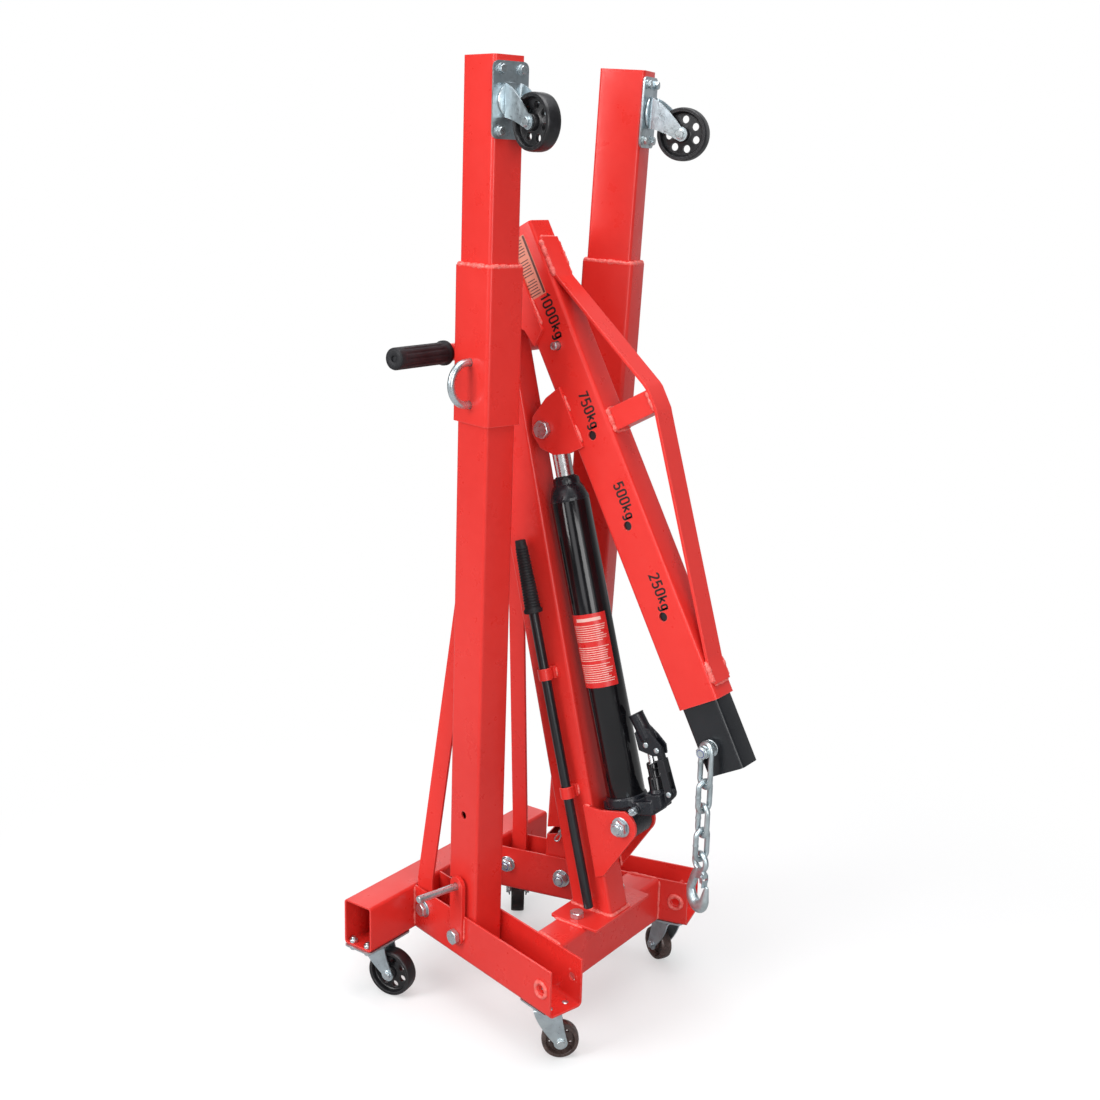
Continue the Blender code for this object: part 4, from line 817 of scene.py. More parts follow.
# ---------------------------------------------------------------- legs
def build_leg(side):
    frame = side.leg

    def hole(a, c, r):
        return cylinder(frame.at(a, -60, c), frame.at(a, 60, c), r)

    top = LEG_TOP - PIVOT_Z
    leg = tube(frame, (-LEG_D / 2, LEG_D / 2, -LEG_W / 2, LEG_W / 2),
               (-PIVOT_Z + 7, top), (-PIVOT_Z - 5, top + 5))
    # round the lower end about the pivot
    leg = cut(leg, cut(box(frame, -60, 60, -55, 55, -PIVOT_Z - 20, 0),
                       cylinder(frame.at(0, -70, 0), frame.at(0, 70, 0), 35.6, 96)))
    leg = cut(leg, hole(0, 0, HOLE_R), hole(0, LOCK_ALONG, LOCK_R + 0.7))
    # curved slot running back from the upper lock pin
    slot_half = LOCK_R + 0.9
    inner_r, outer_r = LOCK_UP - LOCK_R - 0.9, LOCK_UP + LOCK_R + 0.9
    angles = [rad(90 + side.lean + 42.0 * k / 16) for k in range(17)]
    slot = [(outer_r * cos(t), outer_r * sin(t)) for t in angles]
    slot += [(inner_r * cos(t), inner_r * sin(t)) for t in reversed(angles)]
    leg = cut(leg, prism(Frame(frame.origin, frame.x, frame.z, frame.y), slot, -60, 60))
    leg = cut(leg, hole(-LOCK_UP * sin(rad(side.lean)), LOCK_UP * cos(rad(side.lean)),
                        slot_half))
    # open slot for the D pin, down the outer wall from the top
    leg = cut(leg, box(frame, -D_PIN_R - 0.9, D_PIN_R + 0.9, -60, -LEG_W / 2 + WALL + 6,
                       D_PIN_Z[0] - PIVOT_Z - D_PIN_R - 0.9, top + 5))
    stand_in(bevel(leg, 0.4), "leg_" + side.name, "leg_" + side.name, RED)


PLAY_D, PLAY_W, SLEEVE_WALL = 1.6, 0.8, 4.0
SLEEVE_HALF_D = LEG_D / 2 + PLAY_D + SLEEVE_WALL
SLEEVE_HALF_W = LEG_W / 2 + PLAY_W + SLEEVE_WALL


def build_leg_extension(side):
    """The leg's upper tube with the sleeve that slips over the leg."""
    frame, name = side.leg, "leg_extension_" + side.name
    low, high, tip = SLEEVE_Z0 - PIVOT_Z, SLEEVE_Z1 - PIVOT_Z, TIP_Z - PIVOT_Z
    d, w = LEG_D / 2, LEG_W / 2
    sleeve = rounded(-SLEEVE_HALF_D, SLEEVE_HALF_D, -SLEEVE_HALF_W, SLEEVE_HALF_W, 7)
    cavity = rounded(-d - PLAY_D, d + PLAY_D, -w - PLAY_W, w + PLAY_W, 4)
    bore = rounded(-d + WALL, d - WALL, -w + WALL, w - WALL, BORE_CORNER_R)
    extension = merge(prism(frame, sleeve, low, high),
                      prism(frame, rounded(-d, d, -w, w, CORNER_R), high - 12, tip))
    cut(extension, prism(frame, cavity, low - 5, high - 8))
    cut(extension, prism(frame, bore, high - 20, tip + 5))
    for z in D_PIN_Z:
        cut(extension, cylinder(frame.at(0, -60, z - PIVOT_Z),
                                frame.at(0, -w + 8, z - PIVOT_Z), D_PIN_R + 0.6))
    stand_in(bevel(extension, 0.4), name, name, RED)
    seam = rounded(-d - 1.6, d + 1.6, -w - 1.4, w + 1.4, 6.5, 5)
    weld([frame.at(x, y, high + 0.9) for x, y in seam], name, 3.7,
         seed=4 + side.sign, closed=True)


def build_d_pin(side):
    name = "d_pin_" + side.name
    middle = (D_PIN_Z[0] + D_PIN_Z[1]) / 2 - PIVOT_Z
    half = (D_PIN_Z[1] - D_PIN_Z[0]) / 2
    face = -SLEEVE_HALF_W
    path = [(face + 9.5, -half), (face + 2, -half)]
    for k in range(25):
        t = rad(-90 + 7.5 * k)
        path.append((face - 5 - (half - 3) * cos(t), half * sin(t)))
    path += [(face + 2, half), (face + 9.5, half)]
    radii = [D_PIN_R * 0.8] + [D_PIN_R - 0.02] * (len(path) - 2) + [D_PIN_R * 0.8]
    pin = built(add_sweep, [side.leg.at(0, y, middle + z) for y, z in path], radii, 24)
    stand_in(pin, name, name, ZINC, 60)


def build_lock_pin(side):
    """The pin through the ear's upper hole, with its spring clip."""
    name, z = "lock_pin_" + side.name, PIVOT_Z + LOCK_UP
    frame = Frame(side.base.at(PIVOT_ALONG, -77, z), side.along, UP, side.inward)
    stand_in(turned(frame, [(0, 0), (LOCK_R - 1.0, 0), (LOCK_R, 1.2), (LOCK_R, 144.3),
                            (LOCK_R - 1.2, 145.5), (0, 145.5)], 40), name, name, ZINC)
    spring_clip(side.base.at(PIVOT_ALONG, CHANNEL_W + 2.0, z),
                -side.along * 0.35 - UP * 0.94, side.along, name)


# ---------------------------------------------------------------- mast
MAST_LOW, MAST_HIGH = CROSS_H + GAP, MAST_TOP_Z + 33.0
FOOT_TOP = MAST_LOW + FOOT_T


def mast_loft(inset, low, high, r):
    section = rounded(-MAST_LEVEL_D + inset, -inset, -MAST_W / 2 + inset, MAST_W / 2 - inset, r)
    return loft([[base_at(mast_x(z) + x, y, z) for x, y in section] for z in (low, high)])


def mast_tube():
    mast = cut(mast_loft(0, MAST_LOW + 1, MAST_HIGH, CORNER_R),
               mast_loft(WALL, FOOT_TOP, MAST_HIGH + 10, BORE_CORNER_R))
    # square off the top
    c, s = cos(MAST_ANGLE), sin(MAST_ANGLE)
    top = Frame(base_at(mast_x(MAST_TOP_Z) - MAST_LEVEL_D / 2, 0, MAST_TOP_Z),
                (c, 0, s), LEFT, (-s, 0, c))
    return cut(mast, box(top, -80, 80, -60, 60, 30, 120),
               cross_bore(BOOM_PIVOT, 8.6), cross_bore(base_at(PUSH_X, 0, PUSH_Z), 13.3))


def build_jack_foot_ears():
    """Two plates on the mast's sides that hold the jack's foot."""
    outline = [(mast_x(252) - 14, 252), (284, 252), (JACK_FOOT_X + 4, 262)]
    outline += arc(JACK_FOOT_X, JACK_FOOT_Z, 26.0, 75, -40, 23)
    outline += [(mast_x(146) + 2, 146), (mast_x(140) - 14, 140)]
    ears = []
    for s in BOTH:
        ear = prism(SIDE_VIEW, outline, s * (MAST_W / 2 + 0.15), s * (MAST_W / 2 + 5))
        ears.append(cut(ear, cross_bore(JACK_FOOT, 8.4)))
        weld([base_at(mast_x(z) + 0.9, s * (MAST_W / 2 - 0.6), z) for z in (144, 249)],
             "base", 2.0, seed=s)
        weld([base_at(mast_x(252) + x, s * (MAST_W / 2 + 2.4), 253.0) for x in (-12, -2)],
             "base", 2.0, seed=s)
    piece(bevel(join(ears), 0.7), "jack_foot_ears", "base", RED)


def build_mast():
    mast = mast_tube()
    foot = prism(PLAN, rounded(230, 316, -75, 75, 4, 4), MAST_LOW, FOOT_TOP)
    piece(bevel(foot, 0.5), "mast_foot_plate", "base", RED)
    build_jack_foot_ears()
    stand_in(bevel(mast, 0.4), "mast", "base", RED)
    # seams round the mast's foot and along the foot plate
    ring_seam = rounded(-MAST_LEVEL_D - 1.2, 1.2, -MAST_W / 2 - 1.2, MAST_W / 2 + 1.2, 6, 4)
    weld([base_at(mast_x(81) + x, y, FOOT_TOP + 0.8) for x, y in ring_seam],
         "base", 2.9, seed=7, closed=True)
    for s in BOTH:
        weld([base_at(x, s * 75.6, MAST_LOW + 0.6) for x in (238, 290)],
             "base", 2.0, seed=s * 2)
    weld([base_at(FRONT_X1 + 0.6, y, MAST_LOW) for y in (-60, 60)], "base", 1.6, seed=9)
    for s in BOTH:
        bolt(base_at(267, s * 57.0, FOOT_TOP), UP, 20.0, 9.0, washer=False, turn=0.25)


# the pump handle is stowed along the mast's right side
PUMP_HANDLE_R, PUMP_HANDLE_Y = 7.5, -MAST_W / 2 - 16.0
PUMP_HANDLE_Z0, PUMP_HANDLE_Z1 = 92, 652


def pump_handle_at(z):
    """A place on the handle's axis, which drifts from ahead of the mast's axis onto it."""
    ahead = 8.5 * (650 - z) / 560.0
    return base_at(mast_x(z) - MAST_LEVEL_D / 2 + ahead, PUMP_HANDLE_Y, z)


HANDLE_UP = (pump_handle_at(PUMP_HANDLE_Z1) - pump_handle_at(PUMP_HANDLE_Z0)).normalized()
PUMP_HANDLE = Frame(pump_handle_at(PUMP_HANDLE_Z0), -HANDLE_UP.cross(LEFT), LEFT, HANDLE_UP)


def build_pump_handle_clips():
    r, half = PUMP_HANDLE_R, 9
    clips = []
    for z in (271.0, 451.0):
        c = (z - PUMP_HANDLE_Z0) / HANDLE_UP.z
        clips.append(ring(PUMP_HANDLE, [
            (r + 0.6, c - half), (r + 2.9, c - half), (r + 3.3, c - 8.6),
            (r + 3.3, c + 8.6), (r + 2.9, c + half), (r + 0.6, c + half)], 40))
        clips.append(box(PUMP_HANDLE, -r - 3, r + 3, r + 2.0, 16.2, c - half, c + half))
        for s in BOTH:
            weld([PUMP_HANDLE.at(s * (r + 3.6), 15.0, c + end) for end in (-7, 7)],
                 "base", 1.9, seed=z)
    piece(bevel(join(clips), 0.5), "pump_handle_clips", "base", RED)


# push handle grip: radius, height from its outer end, groove depth
GRIP_PROFILE = [
    (4.2, 4.5, 0), (4.6, 1.0, 0), (6.0, 0.2, 0), (10, 0.0, 0), (13.4, 0.3, 0),
    (15.2, 1.6, 0), (15.8, 3.6, 0), (15.8, 11, 0), (15.8, 14, 0.625), (15.8, 18, 1.25),
    (15.8, 92, 1.25), (15.8, 96, 0.625), (15.8, 99, 0), (15.9, 102.5, 0), (16.8, 104, 0),
    (18.0, 105.4, 0), (18.0, 110.2, 0), (17.3, 111, 0), (13.2, 111, 0), (13.2, 14, 0),
    (4.2, 14, 0),
]


def build_push_handle():
    length = 2 * PUSH_HALF - 12
    bar_frame = Frame(base_at(PUSH_X, -PUSH_HALF + 6, PUSH_Z), FORWARD, UP, LEFT)
    bar = turned(bar_frame, [(0, 0), (12.7, 0), (12.7, length), (0, length)])
    stand_in(bar, "push_handle_bar", "base", RED)
    for s, name in ((-1, "right"), (1, "left")):
        frame = Frame(base_at(PUSH_X, s * PUSH_HALF, PUSH_Z), FORWARD, UP, (0, -s, 0))
        rings = []
        for t in around(96):
            groove = max(0.0, cos(12 * t)) ** 0.6
            rings.append([frame.at((r - deep * groove) * cos(t), (r - deep * groove) * sin(t), h)
                          for r, h, deep in GRIP_PROFILE])
        grip = built(add_loft, rings, capped=False)
        stand_in(grip, "push_handle_grip_" + name, "base", RUBBER, 50)
        add_turned(batch("grip_plugs", "base", RUBBER), frame,
                   [(0, 3.2), (4.3, 3.2), (4.3, 12), (0, 12)], 32)
        weld([base_at(x, s * (MAST_W / 2 + 0.6), z)
              for x, z in circle(PUSH_X, PUSH_Z, 13.6, 36)], "base", 1.9, seed=s, closed=True)


# brace from channel to mast: x and height of its middle, and how far out its outer face lies
BRACE_STATIONS = [(20, 20, 127.0), (20, 92, 127.0), (20.4, 100, 126.5),
                  (60.5, 842, 32.7), (61.6, 852, 31.8), (62, 890, 31.8)]
BRACE_HALF, BRACE_T = 15.0, 5


def build_brace(side):
    s, w = side.sign, BRACE_HALF
    rings = [[base_at(x - w, s * y, z), base_at(x + w, s * y, z),
              base_at(x + w, s * (y - BRACE_T), z), base_at(x - w, s * (y - BRACE_T), z)]
             for x, z, y in BRACE_STATIONS]
    stand_in(bevel(loft(rings), 0.9, 3, 25), "brace_" + side.name, "base", RED)
    for q in BOTH:
        weld([base_at(62 + q * (w + 0.4), s * 27.6, z) for z in (856, 886)],
             "base", 2.0, seed=s + q)
    # foot bolt through the channel
    bolt_along = 27.0
    bolt(side.base.at(bolt_along, 0.0, 46), -side.inward, 20.0, 8.0, turn=0.5)
    nut(side.base.at(bolt_along - 8, CHANNEL_W, 46), side.inward, 20.0, 8.5, r=5.6)


# ---------------------------------------------------------------- boom
BOOM_MID = BOOM_D / 2


def boom_weld(start, end, radius, seed):
    weld([BOOM.at(*start), BOOM.at(*end)], "boom", radius, seed)


def build_boom():
    boom = tube(BOOM_SECTION, (0, BOOM_D, -BOOM_W / 2, BOOM_W / 2), (0, BOOM_L),
                (4, BOOM_L + 5))
    for along in BOOM_HOLES:
        cut(boom, cylinder(BOOM.at(along, BOOM_MID, -60), BOOM.at(along, BOOM_MID, 60),
                           BOOM_HOLE_R))
    stand_in(bevel(boom, 0.5), "boom", "boom", RED)


# (along, down) outlines of the plates at the boom pivot and at the ram
PIVOT_PLATE = ([(8, 46), (150, 46), (166, 69.5), (138, 76)]
               + arc(PIVOT_S, PIVOT_DOWN, 24, 40, 172.6, 26))
RAM_PLATE = [(236, 55), (241, 84), (257, 119), (279, 131),
             (304, 126), (322, 108), (330, 80), (330, 55)]


def build_boom_side_plates():
    plates = []
    for s in BOTH:
        for outline, along, down in ((PIVOT_PLATE, PIVOT_S, PIVOT_DOWN),
                                     (RAM_PLATE, RAM_S, RAM_DOWN)):
            plate = prism(BOOM, outline, s * (BOOM_W / 2 + PLATE_GAP),
                          s * (BOOM_W / 2 + PLATE_OUT))
            plates.append(cut(plate, cylinder(BOOM.at(along, down, -60),
                                              BOOM.at(along, down, 60), 8.3)))
        out = s * (BOOM_W / 2 + 1.6)
        # start, end, down, seed
        for start, end, down, seed in ((250, 274, 54.6, 1), (296, 322, 54.6, 2),
                                       (20, 60, 45.6, 3), (100, 142, 45.6, 4)):
            boom_weld((start, down, out), (end, down, out), 2.2, seed + s)
    piece(bevel(join(plates), 0.7), "boom_side_plates", "boom", RED)


# underside of the truss strap above the boom: along, down
STRAP_LINE = [(28, -GAP), (88, -GAP), (95, -GAP - 2.2), (286, -72), (294, -74),
              (327, -74), (334, -72.3), (676, -2.0), (684, -GAP), (715, -GAP)]
STRAP_T, STRAP_HALF = 5.0, 20


def build_truss():
    """A bent flat bar over the boom, held up by a hollow strut."""
    w = STRAP_HALF
    strap = loft([[BOOM.at(x, y, -w), BOOM.at(x, y - STRAP_T, -w),
                   BOOM.at(x, y - STRAP_T, w), BOOM.at(x, y, w)] for x, y in STRAP_LINE])
    piece(bevel(strap, 0.9, 3, 30), "boom_truss_strap", "boom", RED, node="boom_truss")
    strut = cut(box(BOOM, 294.5, 328, -74.0, -0.4, -17, 17),
                box(BOOM, 297.5, 325, -120, 20, -14, 14))
    piece(bevel(strut, 0.9, 3, 40), "boom_truss_strut", "boom", RED)
    for x in (293.8, 328.8):
        boom_weld((x, -1.2, -16), (x, -1.2, 16), 2.6, x)
        boom_weld((x, -73.2, -16), (x, -73.2, 16), 2.2, x)
    for s in BOTH:
        # start, end, down, half width, radius, seed
        for start, end, down, half, radius, seed in (
                (294, 329, -1.2, 17.8, 3.8, s), (297, 326, -73.0, 17.8, 3.0, s),
                (32, 88, -1.8, 20.6, 3.6, s), (680, 713, -1.8, 20.6, 3.5, s * 3)):
            boom_weld((start, down, s * half), (end, down, s * half), radius, seed)
    for x, seed in ((27.4, 5), (715.8, 6)):
        boom_weld((x, -1.8, -18), (x, -1.8, 18), 2.4, seed)


def build_boom_bolts():
    face = BOOM_W / 2 + PLATE_OUT
    for name, centre in (("boom_pivot_bolt", BOOM_PIVOT), ("ram_bolt", RAM)):
        shank = cylinder(aside(centre, -face - 1), aside(centre, face + 14), 8.0)
        stand_in(shank, name, "boom", ZINC)
        bolt(aside(centre, -face), RIGHT, 24.0, 9.6, body="boom", washer=False, turn=0.15)
        nut(aside(centre, face), LEFT, 24.0, 10.0, r=7.6, body="boom", washer=False)


CHAIN_BOLT = base_at(CHAIN_X, 0, CHAIN_Z)


def build_boom_extension():
    first, r = BOOM_HOLES[0] + 2, BOOM_PIN_R + 0.9
    extension = tube(BOOM_SECTION,
                     (BOOM_MID - EXT_D / 2, BOOM_MID + EXT_D / 2, -EXT_W / 2, EXT_W / 2),
                     (EXT_IN, BOOM_L + EXT_OUT), (EXT_IN - 5, BOOM_L + EXT_OUT + 5),
                     wall=EXT_WALL, bore_corner_r=2.2)
    # open slot for the boom pin, the hole of the chain bolt
    cut(extension, box(BOOM, EXT_IN - 5, first, BOOM_MID - BOOM_PIN_R - 0.9,
                       BOOM_MID + BOOM_PIN_R + 0.9, -60, 60))
    cut(extension, cylinder(BOOM.at(first, BOOM_MID, -60), BOOM.at(first, BOOM_MID, 60), r))
    cut(extension, cross_bore(CHAIN_BOLT, 5.4))
    stand_in(bevel(extension, 0.5), "boom_extension", "boom_extension", SATIN)


def build_boom_pin():
    r, shank = BOOM_PIN_R, BOOM_W + 14
    frame = Frame(BOOM.at(BOOM_HOLES[0], BOOM_MID, BOOM_W / 2 + 10), BOOM.x, BOOM.y, -BOOM.z)
    pin = turned(frame, [
        (0, 0), (r - 1.6, 0), (r - 0.4, 0.7), (r, 2.0), (r, shank), (10.2, shank),
        (11, shank + 0.8), (11, shank + 5), (10, shank + 6), (0, shank + 6)], 40)
    stand_in(pin, "boom_pin", "boom_pin", ZINC)


def build_chain_bolt():
    """The bolt through the extension; the chain hangs from it on the right."""
    body, half = "boom_extension", EXT_W / 2

    def washer(y, profile, n):
        add_turned(batch("hardware_" + body, body, ZINC),
                   Frame(aside(CHAIN_BOLT, y), FORWARD, UP, RIGHT), profile, n)

    shank = cylinder(aside(CHAIN_BOLT, half + 2), aside(CHAIN_BOLT, -half - 29), 5.0)
    stand_in(shank, "chain_bolt", body, ZINC)
    bolt(aside(CHAIN_BOLT, half), LEFT, 17.0, 6.6, body=body)
    washer(-half, [(0, 0), (12.2, 0), (12.8, 0.4), (12.8, 1.8), (12.2, 2.2), (0, 2.2)], 48)
    nut(aside(CHAIN_BOLT, -half - 19.6), RIGHT, 17.0, 6.6, r=4.8, body=body,
        washer=False, thread=1.6)
    washer(-half - 18.6, [(0, 0), (9.6, 0), (9.9, 0.3), (9.9, 0.8), (9.6, 1.1), (0, 1.1)], 40)


# ---------------------------------------------------------------- chain and hook
def build_link(name, top, turn, inner_len, inner_wide):
    """An oval link hanging from top, turned about the vertical."""
    across = Vector((cos(rad(turn)), sin(rad(turn)), 0))
    centre = top - UP * (inner_len / 2 + LINK_WIRE) * MM
    r = inner_wide / 2 + LINK_WIRE
    half = (inner_len / 2 + LINK_WIRE) - r
    heights = [half - 2 * half * k / 16 for k in range(1, 16)]
    # across, up, extra radius; the butt weld swells one leg at half height
    outline = [(x, z, 0.0) for x, z in arc(0, half, r, 0, 180, 16)]
    outline += [(-r, z, 0.55 * exp(-(z / 1.7) ** 2)) for z in heights]
    outline += [(x, z, 0.0) for x, z in arc(0, -half, r, 180, 360, 16)]
    outline += [(r, -z, 0.0) for z in heights]
    link = built(add_sweep, [centre + across * x * MM + UP * z * MM for x, z, _ in outline],
                 [LINK_WIRE - 0.02 + extra for _, _, extra in outline], 20, closed=True)
    stand_in(link, name, name, ZINC_CHAIN, 70)


def build_chain():
    """Hangs the links and returns where the hook pivots."""
    top = base_at(CHAIN_X, CHAIN_Y, CHAIN_Z + 5.0 + LINK_GAP + LINK_WIRE)
    for k, (inner_len, inner_wide) in enumerate(LINK_SIZES):
        build_link("chain_link_%d" % (k + 1), top, LINK_TWIST + (90 if k % 2 else 0),
                   inner_len, inner_wide)
        low = top - UP * (inner_len + 2 * LINK_WIRE) * MM
        top = low + UP * (2 * LINK_WIRE + LINK_GAP) * MM
    return low


def build_hook(pivot):
    """The hook with its eye and latch lug, then the sprung latch."""
    turn = rad(LINK_TWIST)
    frame = Frame(pivot, (cos(turn), sin(turn), 0), UP, (-sin(turn), cos(turn), 0))
    eye_in = 8.4
    eye_y = -(eye_in - LINK_WIRE - LINK_GAP)
    eye = ring(Frame(frame.at(0, eye_y, 0), frame.x, frame.y, frame.z),
               circle(12.7, 0, 4.3, 15), 56)
    # centre line: x, y, radius
    bowl_x, bowl_y = -1.5, eye_y - 48.0
    stations = [(-3.0, eye_y - eye_in - 5.0, 6.6), (-9.5, eye_y - 24.0, 7.4)]
    for k in range(9):
        t = 172 + 186.0 * k / 8
        stations.append((bowl_x + 16.5 * cos(rad(t)), bowl_y + 22.5 * sin(rad(t)),
                         6.6 + 4.2 * max(0.0, sin(rad(t - 180))) + (0.9 if k < 3 else 0.0)))
    stations += [(bowl_x + 18.5, bowl_y + 10.0, 4.6), (bowl_x + 20.0, bowl_y + 15.0, 2.6)]
    curve = spline(stations, 6)
    hook = built(add_sweep, [frame.at(x, y, 0) for x, y, _ in curve],
                 [r for _, _, r in curve], 28, up=frame.z, flatten=0.70)
    pin_x, pin_y = 9.5, eye_y - 20.0
    lug = prism(frame, [
        (-5.0, eye_y - 13.0), (-5.5, eye_y - 27.0), (pin_x - 1.0, pin_y - 4.4),
        (pin_x + 3.2, pin_y - 3.0), (pin_x + 4.4, pin_y), (pin_x + 4.0, pin_y + 6.3),
        (6.0, eye_y - 12.6)], -3.9, 3.9)
    stand_in(melt(merge(hook, eye, lug), 0.75, 5), "hook", "hook", ZINC_CHAIN, 180)

    # the latch runs from its pin to the hook's tip
    dx, dy = bowl_x + 12.6 - pin_x, bowl_y + 11.0 - pin_y
    length = hypot(dx, dy)
    dx, dy = dx / length, dy / length
    latch_frame = Frame(frame.at(pin_x, pin_y, 0), frame.x * dx + frame.y * dy,
                        frame.x * -dy + frame.y * dx, frame.z)
    cheek = arc(0, 0, 4.0, 110, 250, 14) + [(9.5, -3.0), (9.5, 2.8), (5.0, 3.9)]
    tongue = [(6.4, 1.0), (length - 0.5, 0.2), (length - 0.5, 1.5), (6.4, 2.4)]
    parts = [prism(latch_frame, cheek, s * 4.5, s * 5.7) for s in BOTH]
    parts.append(prism(latch_frame, tongue, -5.2, 5.2))
    parts.append(cylinder(latch_frame.at(0, 0, -6.6), latch_frame.at(0, 0, 6.6), 1.7, 24))
    stand_in(bevel(merge(*parts), 0.3), "hook_latch", "hook_latch", ZINC_SHEET)


# ---------------------------------------------------------------- jack
# forged shoulder and gland nut: radius, height; the second to tenth are uneven
SHOULDER_PROFILE = [
    (CYL_R - 0.2, 497.0), (CYL_R + 0.1, 499.0), (CYL_R - 0.7, 503.5), (CYL_R - 2.8, 509.0),
    (25.0, 514.5), (22.6, 519.0), (20.4, 522.0), (19.7, 523.0), (19.9, 524.2), (19.6, 530.0),
    (18.8, 532.2), (17.2, 533.0), (ROD_R + 2.6, 533.0), (ROD_R + 1.4, 531.6),
    (ROD_R + 0.6, 531.6), (ROD_R + 0.6, 500.0), (CYL_R - 4, 497.0),
]


def build_rod():
    rod = turned(JACK, [(0, 62), (ROD_R, 62), (ROD_R, JACK_LEN - 21), (ROD_R + 0.4, JACK_LEN - 20),
                        (12, JACK_LEN - 12), (0, JACK_LEN - 10)], 72)
    stand_in(rod, "jack_rod", "jack_rod", CHROME)
    eye = ring(Frame(RAM, JACK.x, JACK.z, JACK.y), [
        (8.4, -18.4), (9.0, -19), (16.4, -19), (17, -18.4),
        (17, 18.4), (16.4, 19), (9.0, 19), (8.4, 18.4)], 56)
    piece(eye, "jack_rod_eye", "jack_rod", CASTING)


def build_jack_cylinder():
    shell = turned(JACK, [
        (0, 36), (CYL_R - 0.4, 36), (CYL_R, 36.6), (CYL_R, 497.5), (CYL_R - 0.3, 498.2),
        (ROD_R + 0.7, 498.2), (ROD_R + 0.7, 80), (0, 80)], 96)
    piece(shell, "jack_cylinder", "jack_body", GLOSS, node="jack_body")
    rings = []
    for t in around(96):
        section = []
        for k, (r, h) in enumerate(SHOULDER_PROFILE):
            if 1 <= k <= 9:
                r += (0.42 * sin(5 * t + h * 0.7) * sin(3 * t - h * 0.45)
                      + 0.25 * sin(11 * t + h))
            section.append(JACK.at(r * cos(t), r * sin(t), h))
        rings.append(section)
    piece(built(add_loft, rings, capped=False), "jack_shoulder", "jack_body", CASTING, 60)
    seal = ring(JACK, [(ROD_R + 0.25, 531.0), (ROD_R + 2.4, 531.0), (ROD_R + 2.2, 534.0),
                       (ROD_R + 0.9, 534.8), (ROD_R + 0.25, 533.6)], 64)
    piece(seal, "ram_wiper_seal", "jack_body", RUBBER)


# places in the jack's side view: (forward, up)
PUMP_X = 58.0
PUMP = Frame(JACK.at(PUMP_X, 0, 0), JACK.x, JACK.y, JACK.z)
PISTON_PIN, LINK_PIN, LUG = (PUMP_X, 120.7), (PUMP_X + 18.0, 112.0), (82.0, 44.0)
VALVE_X, VALVE_Z = 30, 26


def build_jack_base():
    """The casting under the cylinder and pump."""
    at = JACK.at
    lug = ([(64, 25), (74, 28)] + arc(*LUG, 8, -50, 160, 15) + [(66, 46.2), (64, 45.2)])
    casting = merge(
        prism(JACK, rounded(-33, 58, -22.5, 22.5, 8), 16, 37),
        prism(JACK, rounded(40, 72, -17, 17, 8), 24, 46),
        cylinder(at(0, -22.2, 0), at(0, 22.2, 0), 23.8, 56),
        box(JACK, -20, 20, -21, 21, 2, 20),
        turned(JACK, [(0, 30), (CYL_R + 2.6, 30), (CYL_R + 2.6, 41), (CYL_R + 0.9, 44.5),
                      (0, 45)], 64),
        cylinder(at(VALVE_X, -18, VALVE_Z), at(VALVE_X, -27.6, VALVE_Z), 8.0, 32),
        turned(PUMP, [(0, 32), (13.0, 32), (13.0, 46), (11.2, 52), (0, 52)], 40),
        prism(JACK_SIDE, lug, -4, 4))
    casting = cut(
        melt(casting, 1.1, 5),
        cylinder(at(0, -40, 0), at(0, 40, 0), 8.4),
        cylinder(at(VALVE_X, -12, VALVE_Z), at(VALVE_X, -40, VALVE_Z), 4.4),
        cylinder(at(LUG[0], -20, LUG[1]), at(LUG[0], 20, LUG[1]), 3.4),
        turned(JACK, [(0, 38), (CYL_R - 1.2, 38), (CYL_R - 1.2, 90), (0, 90)], 64))
    piece(casting, "jack_base_casting", "jack_body", CASTING, 50)


def build_pump():
    shell = turned(PUMP, [
        (0, 46), (10.9, 46), (10.9, 69), (10.2, 70.2), (8.7, 71.0), (8.4, 72.0), (8.4, 83),
        (8.9, 83.6), (8.9, 90.8), (8.3, 91.8), (5.2, 91.8), (5.2, 60), (0, 60)], 56)
    piece(shell, "pump_cylinder", "jack_body", GLOSS)
    piston = turned(PUMP, [(0, 61), (4.4, 61), (4.4, 112), (4.2, 112.4), (4.2, 124),
                           (3.2, 126), (0, 126)], 40)
    stand_in(piston, "pump_piston", "pump_piston", CHROME)
    frame = Frame(JACK.at(VALVE_X, -13, VALVE_Z), JACK.x, JACK.z, -JACK.y)
    valve = turned(frame, [(0, 0), (4.0, 0), (4.0, 15.4), (5.6, 15.4), (6.0, 15.9),
                           (6.0, 23.4), (5.2, 24.6), (0, 25)], 36)
    cut(valve, box(frame, -10, 10, -1.1, 1.1, 21, 30))
    stand_in(valve, "release_valve", "release_valve", ZINC)


